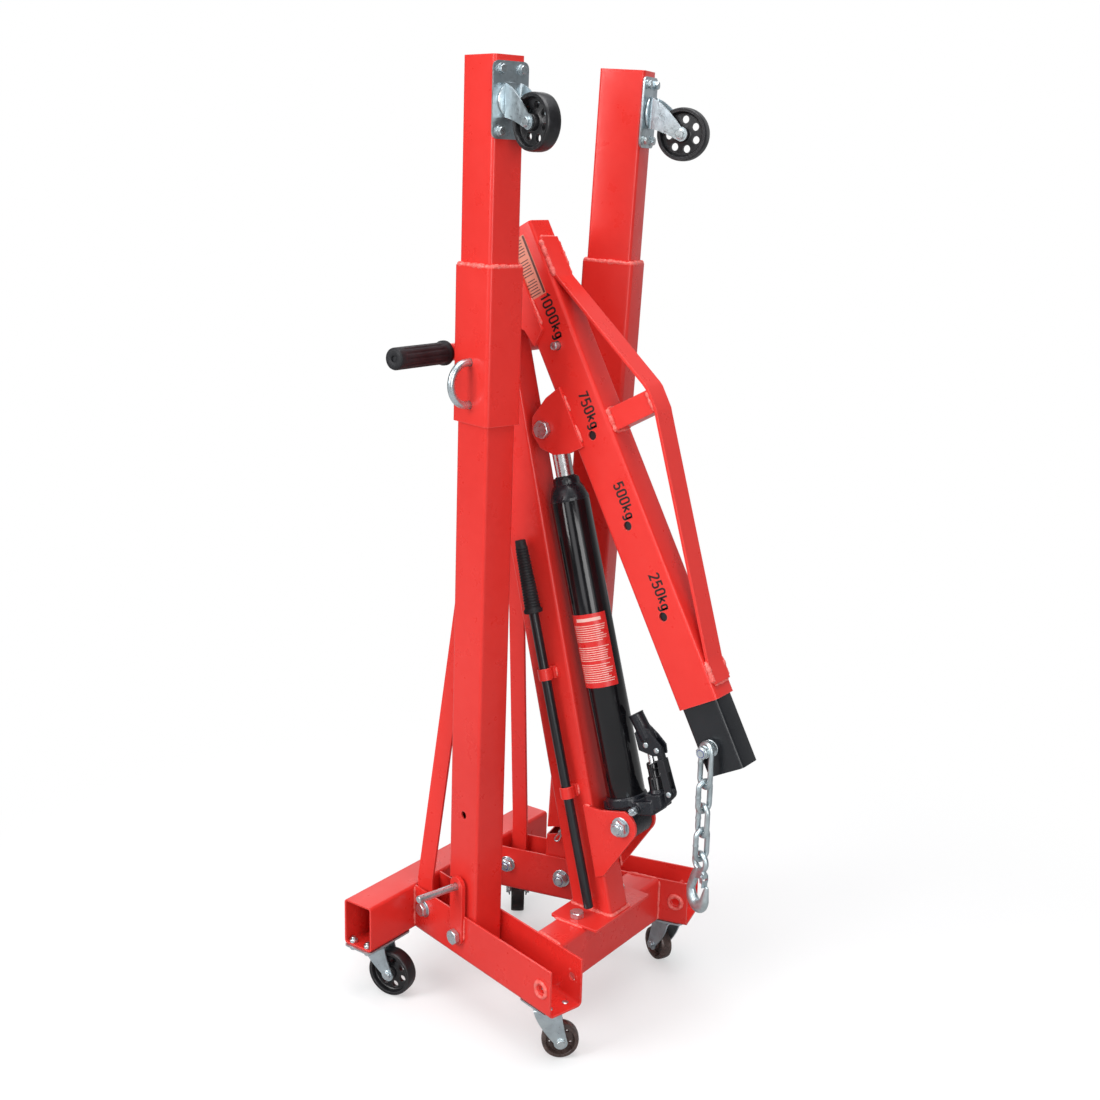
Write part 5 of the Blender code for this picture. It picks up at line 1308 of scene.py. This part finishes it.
def build_pump_lever():
    """Two cheeks, a bridge and the socket that takes the handle."""
    side = JACK_SIDE
    lean = Vector((-0.34, 0.94)).normalized()
    socket_frame = Frame(side.at(PUMP_X + 1.5, 128.5, 0), side.x * lean.y - side.y * lean.x,
                         side.z, side.x * lean.x + side.y * lean.y)
    socket = turned(socket_frame, [(0, 0), (10.9, 0), (11.5, 1.5), (11.5, 39.6), (12.2, 40.4),
                                   (12.2, 41.4), (11.6, 42), (0, 42)])
    cheek = [(PUMP_X - 14, 113), (PUMP_X + 10, 103), (LINK_PIN[0] + 8, 104),
             (LINK_PIN[0] + 9, 118), (PUMP_X + 16, 134), (PUMP_X + 2, 150),
             (PUMP_X - 16, 140)]
    cheeks = [prism(side, cheek, s * 5.5, s * 8.4) for s in BOTH]
    bridge = prism(side, [(PUMP_X - 12, 132), (PUMP_X + 14, 128), (PUMP_X + 8, 144),
                          (PUMP_X - 10, 146)], -8.2, 8.2)
    lever = melt(merge(socket, bridge, *cheeks), 0.75, 3)
    cut(lever,
        turned(socket_frame, [(0, 7), (9.0, 7), (9.3, 41.2), (9.9, 44), (0, 44)]),
        cylinder(side.at(*LINK_PIN, -20), side.at(*LINK_PIN, 20), 3.4))
    stand_in(lever, "pump_lever", "pump_lever", CASTING, 50)
    pins = batch("pump_pins_pump_lever", "pump_lever", ZINC)
    for s in BOTH:
        add_turned(pins, Frame(side.at(*PISTON_PIN, s * 7.6), side.x, side.y, side.z * s),
                   [(0, 0), (4.6, 0), (4.6, 1.0), (3.9, 2.0), (2.0, 2.6), (0, 2.7)], 32)


def build_pump_link():
    """Two plates round the casting's lug and a tongue between the lever's cheeks."""
    side = JACK_SIDE
    run = Vector((LINK_PIN[0] - LUG[0], LINK_PIN[1] - LUG[1]))
    length = run.length
    run.normalize()
    frame = Frame(side.at(*LUG, 0), side.x * run.x + side.y * run.y,
                  side.x * -run.y + side.y * run.x, side.z)
    plate = arc(0, 0, 5.5, 90, 270, 18) + [(length * 0.78, -5.5), (length * 0.78, 5.5)]
    tongue = ([(length * 0.52, -5.0)] + arc(length, 0, 5.0, -90, 90, 18)
              + [(length * 0.52, 5.0)])
    link = merge(box(frame, length * 0.47, length * 0.75, -5.9, 5.9, -6.9, 6.9),
                 prism(frame, tongue, -4.2, 4.2),
                 *[prism(frame, plate, s * 4.6, s * 7.4) for s in BOTH])
    stand_in(bevel(link, 0.5), "pump_link", "pump_link", SATIN)
    pins = batch("pump_pins_pump_link", "pump_link", ZINC)
    for along, half in ((0, 7.4), (length, 8.6)):
        for s in BOTH:
            pin = Frame(frame.at(along, 0, s * half), frame.x, frame.y, frame.z * s)
            add_turned(pins, pin, [(0, -6), (2.9, -6), (2.9, 0), (4.4, 0), (4.4, 0.9),
                                   (3.6, 1.8), (1.8, 2.3), (0, 2.4)], 32)


def build_jack_foot_bolt():
    face = MAST_W / 2 + 5
    length = 2 * face - 0.4
    nut(aside(JACK_FOOT, -face), RIGHT, 23.0, 9.5, r=7.6, turn=0.4)
    bolt(aside(JACK_FOOT, face), LEFT, 23.0, 8.6)
    add_turned(batch("jack_foot_pin_base", "base", ZINC),
               Frame(aside(JACK_FOOT, -face + 0.2), FORWARD, UP, LEFT),
               [(0, 0), (8.0, 0), (8.0, length), (0, length)], 40)


def build_pump_handle():
    r, top = PUMP_HANDLE_R, (PUMP_HANDLE_Z1 - PUMP_HANDLE_Z0) / HANDLE_UP.z
    rod = turned(PUMP_HANDLE, [(0, 0), (r - 1, 0), (r, 1), (r, top - 111), (0, top - 111)])
    stand_in(rod, "pump_handle", "pump_handle", SATIN)
    # the grip: a flange, then ribs that taper to the top
    grip = [(0, top - 112.4), (r + 0.2, top - 112.4), (13.2, top - 112), (14.4, top - 111),
            (14.4, top - 107), (13.2, top - 105.8), (12.2, top - 104.6)]
    rib_start, rib_pitch = top - 102.0, 4.4
    z = rib_start
    while z < top - 11:
        rib_r = 11.6 - 3.0 * (z - rib_start) / 92.0
        grip += [(rib_r, z), (rib_r + 0.95, z + 0.9), (rib_r + 0.95, z + 1.9),
                 (rib_r - 0.1, z + 2.8)]
        z += rib_pitch
    grip += [(8.4, top - 7), (8.2, top - 2), (7.2, top), (0, top)]
    piece(turned(PUMP_HANDLE, grip), "pump_handle_grip", "pump_handle", RUBBER, 50)


# ---------------------------------------------------------------- casters
# trail is the axle's distance from the swivel axis; fork_half is at the fork's top;
# bolt_head is its width across flats and its height
Caster = namedtuple("Caster", "wheel_r wheel_w trail plate_l fork_half bolt_head washer "
                              "material holes")
LARGE = Caster(wheel_r=38.0, wheel_w=24.0, trail=27.5, plate_l=100, fork_half=22.0,
               bolt_head=(10.5, 4.6), washer=True, material=IRON, holes=7)
SMALL = Caster(wheel_r=28.0, wheel_w=20.0, trail=21.0, plate_l=68, fork_half=21.0,
               bolt_head=(9.5, 2.9), washer=False, material=BROWN, holes=5)
FORK_T, FORK_INSIDE = 2.4, 1.5  # sheet thickness, room beside the wheel


def bent_fork(frame, kind, axle_z):
    """The fork as one bent sheet over the top and down both sides."""
    end_r, top_z, bend_r, across = 10.4, 7.4, 5.0, 8
    out = kind.wheel_w / 2 + FORK_INSIDE + 1.2
    bend_z = top_z + bend_r
    # (y, z) down-facing centre line: rounded end, side, bend
    arm = [(-out, axle_z + end_r * sin(rad(t))) for t in range(90, -1, -10)]
    arm += [(-out, axle_z + (bend_z - axle_z) * k / 10) for k in range(1, 11)]
    arm += [(-out + bend_r * (1 - cos(rad(15 * k))), bend_z - bend_r * sin(rad(15 * k)))
            for k in range(1, 7)]
    top = [(-out + bend_r + (2 * out - 2 * bend_r) * k / 8, top_z) for k in range(1, 8)]
    path = arm + top + [(-y, z) for y, z in reversed(arm)]

    def edges(z):
        """Where the sheet starts and ends across its width."""
        if z > axle_z:
            half = sqrt(max(0.02, end_r ** 2 - (z - axle_z) ** 2))
            return kind.trail - half, kind.trail + half
        t = max(0.0, min(1.0, (z - top_z) / (axle_z - top_z))) ** 1.5
        start, end = -kind.fork_half, kind.fork_half
        return (start + (kind.trail - end_r - start) * t,
                end + (kind.trail + end_r - end) * t)

    bm = bmesh.new()
    grid = []
    for y, z in path:
        start, end = edges(z)
        grid.append([bm.verts.new(frame.at(start + (end - start) * k / across, y, z))
                     for k in range(across + 1)])
    for a, b in zip(grid, grid[1:]):
        for k in range(across):
            bm.faces.new((a[k], a[k + 1], b[k + 1], b[k]))
    fork = new_object(bm)
    solid = fork.modifiers.new("s", "SOLIDIFY")
    solid.thickness, solid.offset, solid.use_even_offset = FORK_T * MM, 0.0, True
    return apply_modifiers(fork)


def build_wheel(frame, kind, name):
    """Hub, web with round holes, and a rim with a crowned tread."""
    r = kind.wheel_r
    half = kind.wheel_w / 2 - 0.4
    web_r = r - 7.5
    profile = [
        (4.8, -half), (10.0, -half), (10.6, -half + 0.8), (11.2, -4.0), (12.4, -3.2),
        (web_r - 1.4, -2.8), (web_r - 0.2, -3.8), (web_r + 0.8, -half + 1.4),
        (web_r + 1.8, -half + 0.3), (r - 1.8, -half + 0.2), (r - 0.8, -half + 1.2),
        (r - 0.25, -half + 4.0), (r, -half * 0.35)]
    profile += [(out, -z) for out, z in reversed(profile)]
    wheel = ring(frame, profile, 96)
    hole_r, hole_out = (web_r - 12.4) / 2 * 0.62, (web_r + 12.2) / 2
    cutters = []
    for k in range(kind.holes):
        t = 2 * pi * k / kind.holes + 0.35
        centre = frame.at(hole_out * cos(t), hole_out * sin(t), 0)
        cutters.append(cylinder(centre - frame.z * 0.02, centre + frame.z * 0.02, hole_r, 28))
    cut(wheel, join(cutters))
    stand_in(wheel, "caster_wheel_" + name, "caster_wheel_" + name, kind.material, 38)


def build_caster(name, kind, forward, plate_w, height, parent):
    """A swivel caster; its frame has z from the plate to the floor, along the swivel."""
    down, axle = joint_axis("swivel_" + name), joint_axis("wheel_spin_" + name)
    frame = Frame(joint_at("swivel_" + name), axle.cross(down), axle, down)
    forward = forward.normalized()
    plate_frame = Frame(frame.origin, forward, down.cross(forward), down)
    fork_body = "caster_fork_" + name
    axle_z = height - kind.wheel_r
    half_l, half_w = kind.plate_l / 2, plate_w / 2
    # plate with a pressed race seat, and its bolts
    plate = prism(plate_frame, rounded(-half_l, half_l, -half_w, half_w, 9),
                  GAP - 0.1, GAP + 2.6)
    merge(plate, turned(frame, [(0, 1.0), (24.5, 1.0), (24.5, 2.95), (23.2, 3.25), (20, 3.5),
                                (0, 3.5)], 56))
    stand_in(bevel(plate, 0.5), "caster_plate_" + name, parent, ZINC_SHEET)
    for a in BOTH:
        for b in BOTH:
            bolt(plate_frame.at(a * (half_l - 10.5), b * (half_w - 13.0), GAP + 2.6), down,
                 *kind.bolt_head, body=parent, washer=kind.washer, key="caster_bolts",
                 turn=a * 0.3 + b * 0.2)
    # race ring and king pin
    race = batch("caster_race_" + name, fork_body, ZINC)
    add_ring(race, frame, [(7.2, 3.7), (20.6, 3.7), (22.6, 4.6), (23.2, 5.6), (22.6, 6.9),
                           (21, 7.4), (7.2, 7.4)], 56)
    add_turned(race, frame, [(0, 5.6), (9.2, 5.6), (9.2, 10.2), (8.4, 11.4), (5.0, 12.6),
                             (0, 13.0)], 40)
    fork = bent_fork(frame, kind, axle_z)
    stand_in(bevel(fork, 0.45), fork_body, fork_body, ZINC_SHEET, 50)
    # axle with a washer and a hexagon at each end
    out = kind.wheel_w / 2 + FORK_INSIDE + FORK_T
    axles = batch("caster_axle_" + name, fork_body, ZINC)
    add_turned(axles, Frame(frame.at(kind.trail, -out, axle_z), frame.x, frame.z, frame.y),
               [(0, 0), (4.4, 0), (4.4, 2 * out), (0, 2 * out)], 32)
    for s in BOTH:
        end = Frame(frame.at(kind.trail, s * (out - 0.1), axle_z),
                    frame.x, frame.z, frame.y * s)
        add_turned(axles, end, [(0, 0), (7.6, 0), (7.6, 0.9), (7.0, 1.3), (0, 1.3)], 32)
        add_hex(axles, frame.at(kind.trail, s * (out + 1.1), axle_z), frame.y * s,
                11.5, 3.6, turn=0.3 * s)
    build_wheel(Frame(frame.at(kind.trail, 0, axle_z), frame.x, frame.z, frame.y), kind, name)


def add_caster_fixings(side):
    """Bolt ends on the channel's floor and nuts inside the rear tube's end."""
    bm = batch("hardware_base", "base", ZINC)
    for across in BOTH:
        for along in BOTH:
            spot = side.base.at(296 + along * 23.5, CHANNEL_W / 2 + across * 15.0, WALL)
            add_turned(bm, Frame(spot, side.along, side.inward, UP), [
                (0, 0), (4.9, 0), (5.0, 0.6), (4.2, 1.2), (2.4, 1.55), (0, 1.65)], 24)
            spot = base_at(-REAR_D / 2 + across * 15.0, side.sign * (186.0 + along * 39.5),
                           WALL)
            add_hex(bm, spot, UP, 12.0, 5.0, turn=0.2)
            add_turned(bm, Frame(spot + UP * 5 * MM, FORWARD, LEFT, UP),
                       [(0, -1), (3.6, -1), (3.6, 3), (3.0, 3.8), (0, 3.8)], 24)


# ---------------------------------------------------------------- marks and patches
# condensed letters, 1 high: width, centre lines
GLYPHS = {
    "0": (0.46, [arc(0.23, 0.76, 0.17, 0, 180, ry=0.18)
                 + arc(0.23, 0.24, 0.17, 180, 360, ry=0.18) + [(0.40, 0.76)]]),
    "1": (0.34, [[(0.05, 0.78), (0.21, 0.93), (0.21, 0.06)]]),
    "2": (0.46, [arc(0.23, 0.76, 0.17, 170, -20, ry=0.18)
                 + [(0.34, 0.56), (0.07, 0.07), (0.41, 0.07)]]),
    "5": (0.46, [[(0.39, 0.93), (0.10, 0.93), (0.08, 0.52)]
                 + arc(0.23, 0.40, 0.17, 120, 0, ry=0.18) + arc(0.23, 0.23, 0.17, 0, -165)]),
    "7": (0.42, [[(0.05, 0.93), (0.38, 0.93), (0.15, 0.06)]]),
    "k": (0.42, [[(0.08, 0.94), (0.08, 0.06)], [(0.37, 0.62), (0.10, 0.32)],
                 [(0.18, 0.40), (0.39, 0.06)]]),
    "g": (0.44, [arc(0.21, 0.46, 0.14, 0, 180, ry=0.16)
                 + arc(0.21, 0.24, 0.14, 180, 360, ry=0.16) + [(0.35, 0.46)],
                 [(0.36, 0.63), (0.36, 0.0)] + arc(0.21, -0.06, 0.15, 0, -150, ry=0.14)]),
}
LETTER_HIGH, LETTER_GAP, STROKE = 18.5, 0.10, 0.155


def add_stroke(bm, frame, points, half, c0, c1):
    """A flat ribbon with square ends along a centre line."""
    rings = []
    last = len(points) - 1
    points = [Vector(p) for p in points]
    for k, point in enumerate(points):
        a, b = points[max(0, k - 1)], points[min(last, k + 1)]
        if 0 < k < last:
            before, after = (point - a).normalized(), (b - point).normalized()
            tangent = (before + after).normalized()
            width = half / max(0.5, tangent.dot(after))
        else:
            tangent, width = (b - a).normalized(), half
        out = Vector((-tangent.y, tangent.x)) * width
        left, right = point + out, point - out
        rings.append([frame.at(*left, c0), frame.at(*right, c0),
                      frame.at(*right, c1), frame.at(*left, c1)])
    add_loft(bm, rings)


def build_load_marks():
    """The load at each pin hole, on the boom's right face."""
    bm = bmesh.new()
    for text, hole in zip(("1000kg", "750kg", "500kg", "250kg"), BOOM_HOLES):
        wide = 67.0 if len(text) > 5 else 55.0
        total = sum(GLYPHS[c][0] for c in text) + LETTER_GAP * (len(text) - 1)
        scale = wide / total
        along = hole - 8.0 - wide
        for letter in text:
            advance, lines = GLYPHS[letter]
            frame = Frame(BOOM.at(along, 33.0, BOOM_W / 2), BOOM.x, -BOOM.y, BOOM.z)
            for line in lines:
                add_stroke(bm, frame, [(x * scale, y * LETTER_HIGH) for x, y in line],
                           STROKE * LETTER_HIGH / 2, 0.06, 0.2)
            along += (advance + LETTER_GAP) * scale
    piece(new_object(bm), "boom_load_marks", "boom", INK, 30)


def build_boom_patch():
    """A plain patch near the boom's rear end, with abstract bars."""
    face = BOOM_W / 2
    patch = prism(BOOM, rounded(13, 104, 19, 55, 1.5, 3), face + 0.05, face + 0.05 + 0.18)
    piece(patch, "boom_patch", "boom", LABEL_CREAM, 30)
    outlines = [rounded(14.2, 102.8, 19.8, 23.4, 0.6, 2)]
    for k in range(20):
        if k not in (6, 13):
            a = 17.5 + k * 4.3
            outlines.append(rounded(a, a + 1.5, 26.5 + (k % 3), 52.5 - (k * 7 % 11), 0.5, 2))
    bars = [prism(BOOM, outline, face + 0.22, face + 0.3) for outline in outlines]
    piece(join(bars), "boom_patch_bars", "boom", LABEL_GREY, 30)


def wrapped(r, start, end, low, high, thick):
    """A strip round the jack from start to end, in degrees."""
    n = int((end - start) / 4)
    rings = []
    for k in range(n + 1):
        t = rad(start + (end - start) * k / n)
        c, s = cos(t), sin(t)
        rings.append([JACK.at(out * c, out * s, h) for out, h in (
            (r, low), (r + thick, low), (r + thick, high), (r, high))])
    return loft(rings)


def build_jack_patch():
    middle, half = -74.0, 62.0
    patch = wrapped(CYL_R + 0.03, middle - half, middle + half, 216, 328, 0.16)
    piece(patch, "jack_patch", "jack_body", LABEL_RED, 40)
    bar_r, bar_t = CYL_R + 0.2, 0.08
    bars = [wrapped(bar_r, middle - 34, middle + 44, 317, 322, bar_t)]
    for k in range(27):
        if k in (8, 9, 17):
            continue
        z = 310.5 - k * 3.3
        shorter = 10 if k % 4 == 3 else 0
        bars.append(wrapped(bar_r, middle - 54 + (k % 3) * 1.5,
                            middle + 54 - shorter - (k % 5) * 2.5, z - 0.7, z + 0.4, bar_t))
    piece(join(bars), "jack_patch_bars", "jack_body", LABEL_PALE, 40)


# ---------------------------------------------------------------- stage, light and camera
def floor_material():
    """Fades from a shaded floor to plain white for the camera; dull grey for the rest."""
    s = Surface("floor_looks")
    s.finish(Base_Color=(0.93, 0.93, 0.93), Roughness=0.75, Specular_IOR_Level=0.1)
    white = s.node("ShaderNodeEmission", {"Color": (1, 1, 1), "Strength": 1.0})
    dull = s.node("ShaderNodeBsdfDiffuse", {"Color": (0.42, 0.42, 0.42)})
    distance = s.node("ShaderNodeVectorMath", {0: s.coords}, operation="LENGTH")
    fade = s.remap(distance.outputs["Value"], span=(0.5, 1.3), to=(0.45, 1.0),
                   interpolation_type="SMOOTHSTEP")
    seen = s.mix_shader(fade, s.shader.outputs[0], white.outputs[0])
    path = s.node("ShaderNodeLightPath")
    shown = s.mix_shader(path.outputs["Is Camera Ray"], dull.outputs[0], seen)
    s.feed(s.tree.nodes["Material Output"].inputs["Surface"], shown)
    return s.material


def build_floor():
    radius, height = 14, -0.0008  # metres
    bm = bmesh.new()
    bm.faces.new([bm.verts.new((radius * cos(t), radius * sin(t), height))
                  for t in around(96)])
    floor = new_object(bm, name="floor")
    if floor.data.polygons[0].normal.z < 0:
        floor.data.flip_normals()
    floor.data.materials.append(floor_material())


# bright panels round the room: place round the horizon (0 to 1), brightness
PANELS = [
    (0.0, 0.10), (0.10, 0.10), (0.12, 0.8), (0.17, 0.8), (0.19, 0.12), (0.245, 0.12),
    (0.26, 1.9), (0.30, 1.9), (0.315, 0.10), (0.40, 0.10), (0.415, 1.5), (0.44, 1.5),
    (0.455, 0.10), (0.62, 0.18), (0.70, 0.5), (0.80, 0.5), (0.86, 0.10),
]


def build_world():
    """An even light, a white backdrop, and a dim room with panels for reflections."""
    world = bpy.data.worlds.new("studio")
    bpy.context.scene.world = world
    world.use_nodes = True
    g = Graph(world.node_tree)
    ambient = g.tree.nodes["Background"]
    g.feed(ambient.inputs["Color"], (0.95, 0.97, 1.0))
    g.feed(ambient.inputs["Strength"], 0.50)
    white = g.node("ShaderNodeBackground", {"Color": (1, 1, 1)})
    room = g.node("ShaderNodeBackground", {"Strength": 1.0})
    coords = g.node("ShaderNodeTexCoord")
    direction = g.node("ShaderNodeSeparateXYZ", {0: coords.outputs["Generated"]}).outputs
    angle = g.math("ARCTAN2", direction["Y"], direction["X"])
    panels = g.ramp(g.remap(angle, span=(-pi, pi), to=(0.0, 1.0)),
                    [(place, (v, v, v * 1.02)) for place, v in PANELS])
    overhead = g.remap(direction["Z"], span=(0.62, 0.92), to=(0.0, 1.0),
                       interpolation_type="SMOOTHSTEP")
    g.feed(room.inputs["Color"], g.mix(overhead, panels, (0.95, 0.96, 1.0)))
    path = g.node("ShaderNodeLightPath").outputs
    lit = g.mix_shader(path["Is Glossy Ray"], ambient.outputs[0], room.outputs[0])
    shown = g.mix_shader(path["Is Camera Ray"], lit, white.outputs[0])
    g.feed(g.tree.nodes["World Output"].inputs["Surface"], shown)


def area_light(name, place, target_z, width, height, watts):
    """A rectangular light aimed at the crane's axis; metres."""
    light = bpy.data.lights.new(name, "AREA")
    light.shape = "RECTANGLE"
    light.size, light.size_y, light.energy = width, height, watts
    holder = bpy.data.objects.new(name, light)
    SCENE.objects.link(holder)
    holder.location = place
    aim = Vector((0, 0, target_z)) - Vector(place)
    holder.rotation_euler = aim.to_track_quat("-Z", "Y").to_euler()


def build_camera():
    data = bpy.data.cameras.new("camera")
    camera = bpy.data.objects.new("camera", data)
    SCENE.objects.link(camera)
    # the camera's right, up and backward directions
    right = (0.8087974, 0.5875251, 0.0257104)
    up = (-0.1657247, 0.1857570, 0.9685194)
    back = (0.5642536, -0.7875968, 0.2476070)
    matrix = Matrix((right, up, back)).transposed().to_4x4()
    matrix.translation = base_at(1408.9, -1747.3, 1182.7)
    camera.matrix_world = matrix
    data.sensor_width, data.lens, data.clip_end = 36.0, 47.785, 60.0
    bpy.context.scene.camera = camera


# ---------------------------------------------------------------- assembly
build_cross_tubes()
for side in SIDES:
    build_channel(side)
    weld_channel(side)
    build_leg_pivot_bolt(side)
    build_leg(side)
    build_leg_extension(side)
    build_d_pin(side)
    build_lock_pin(side)
build_mast()
build_pump_handle_clips()
build_push_handle()
for side in SIDES:
    build_brace(side)
build_boom()
build_boom_side_plates()
build_truss()
build_boom_bolts()
build_boom_extension()
build_boom_pin()
build_chain_bolt()
build_hook(build_chain())
build_rod()
build_jack_cylinder()
build_jack_base()
build_pump()
build_pump_lever()
build_pump_link()
build_jack_foot_bolt()
build_pump_handle()
for side in SIDES:
    build_caster("rear_" + side.name, LARGE, LEFT, 56, BASE_HEIGHT, "base")
    build_caster("front_" + side.name, SMALL, side.along, 56, BASE_HEIGHT, "base")
    build_caster("leg_" + side.name, LARGE, side.leg.z, 60,
                 BASE_HEIGHT + PIVOT_Z - LEG_D / 2, "leg_extension_" + side.name)
    add_caster_fixings(side)
build_load_marks()
build_boom_patch()
build_jack_patch()
for name in sorted(BATCHES):
    bm, body, material = BATCHES[name]
    piece(new_object(bm), name, body, material, 60 if material is WELD else 32)

build_floor()
build_world()
area_light("key", (-1.4, -3.1, 2.2), target_z=0.7, width=1.8, height=2.2, watts=86)
area_light("top", (0.4, -0.3, 3.6), target_z=0.6, width=2.2, height=2.2, watts=62)
area_light("front_right", (2.6, -2.2, 1.5), target_z=0.7, width=1.2, height=2.0, watts=40)
area_light("rear_fill", (-2.4, 2.4, 2.2), target_z=0.7, width=2.0, height=2.0, watts=18)
build_camera()
bpy.context.scene.view_settings.view_transform = "Standard"
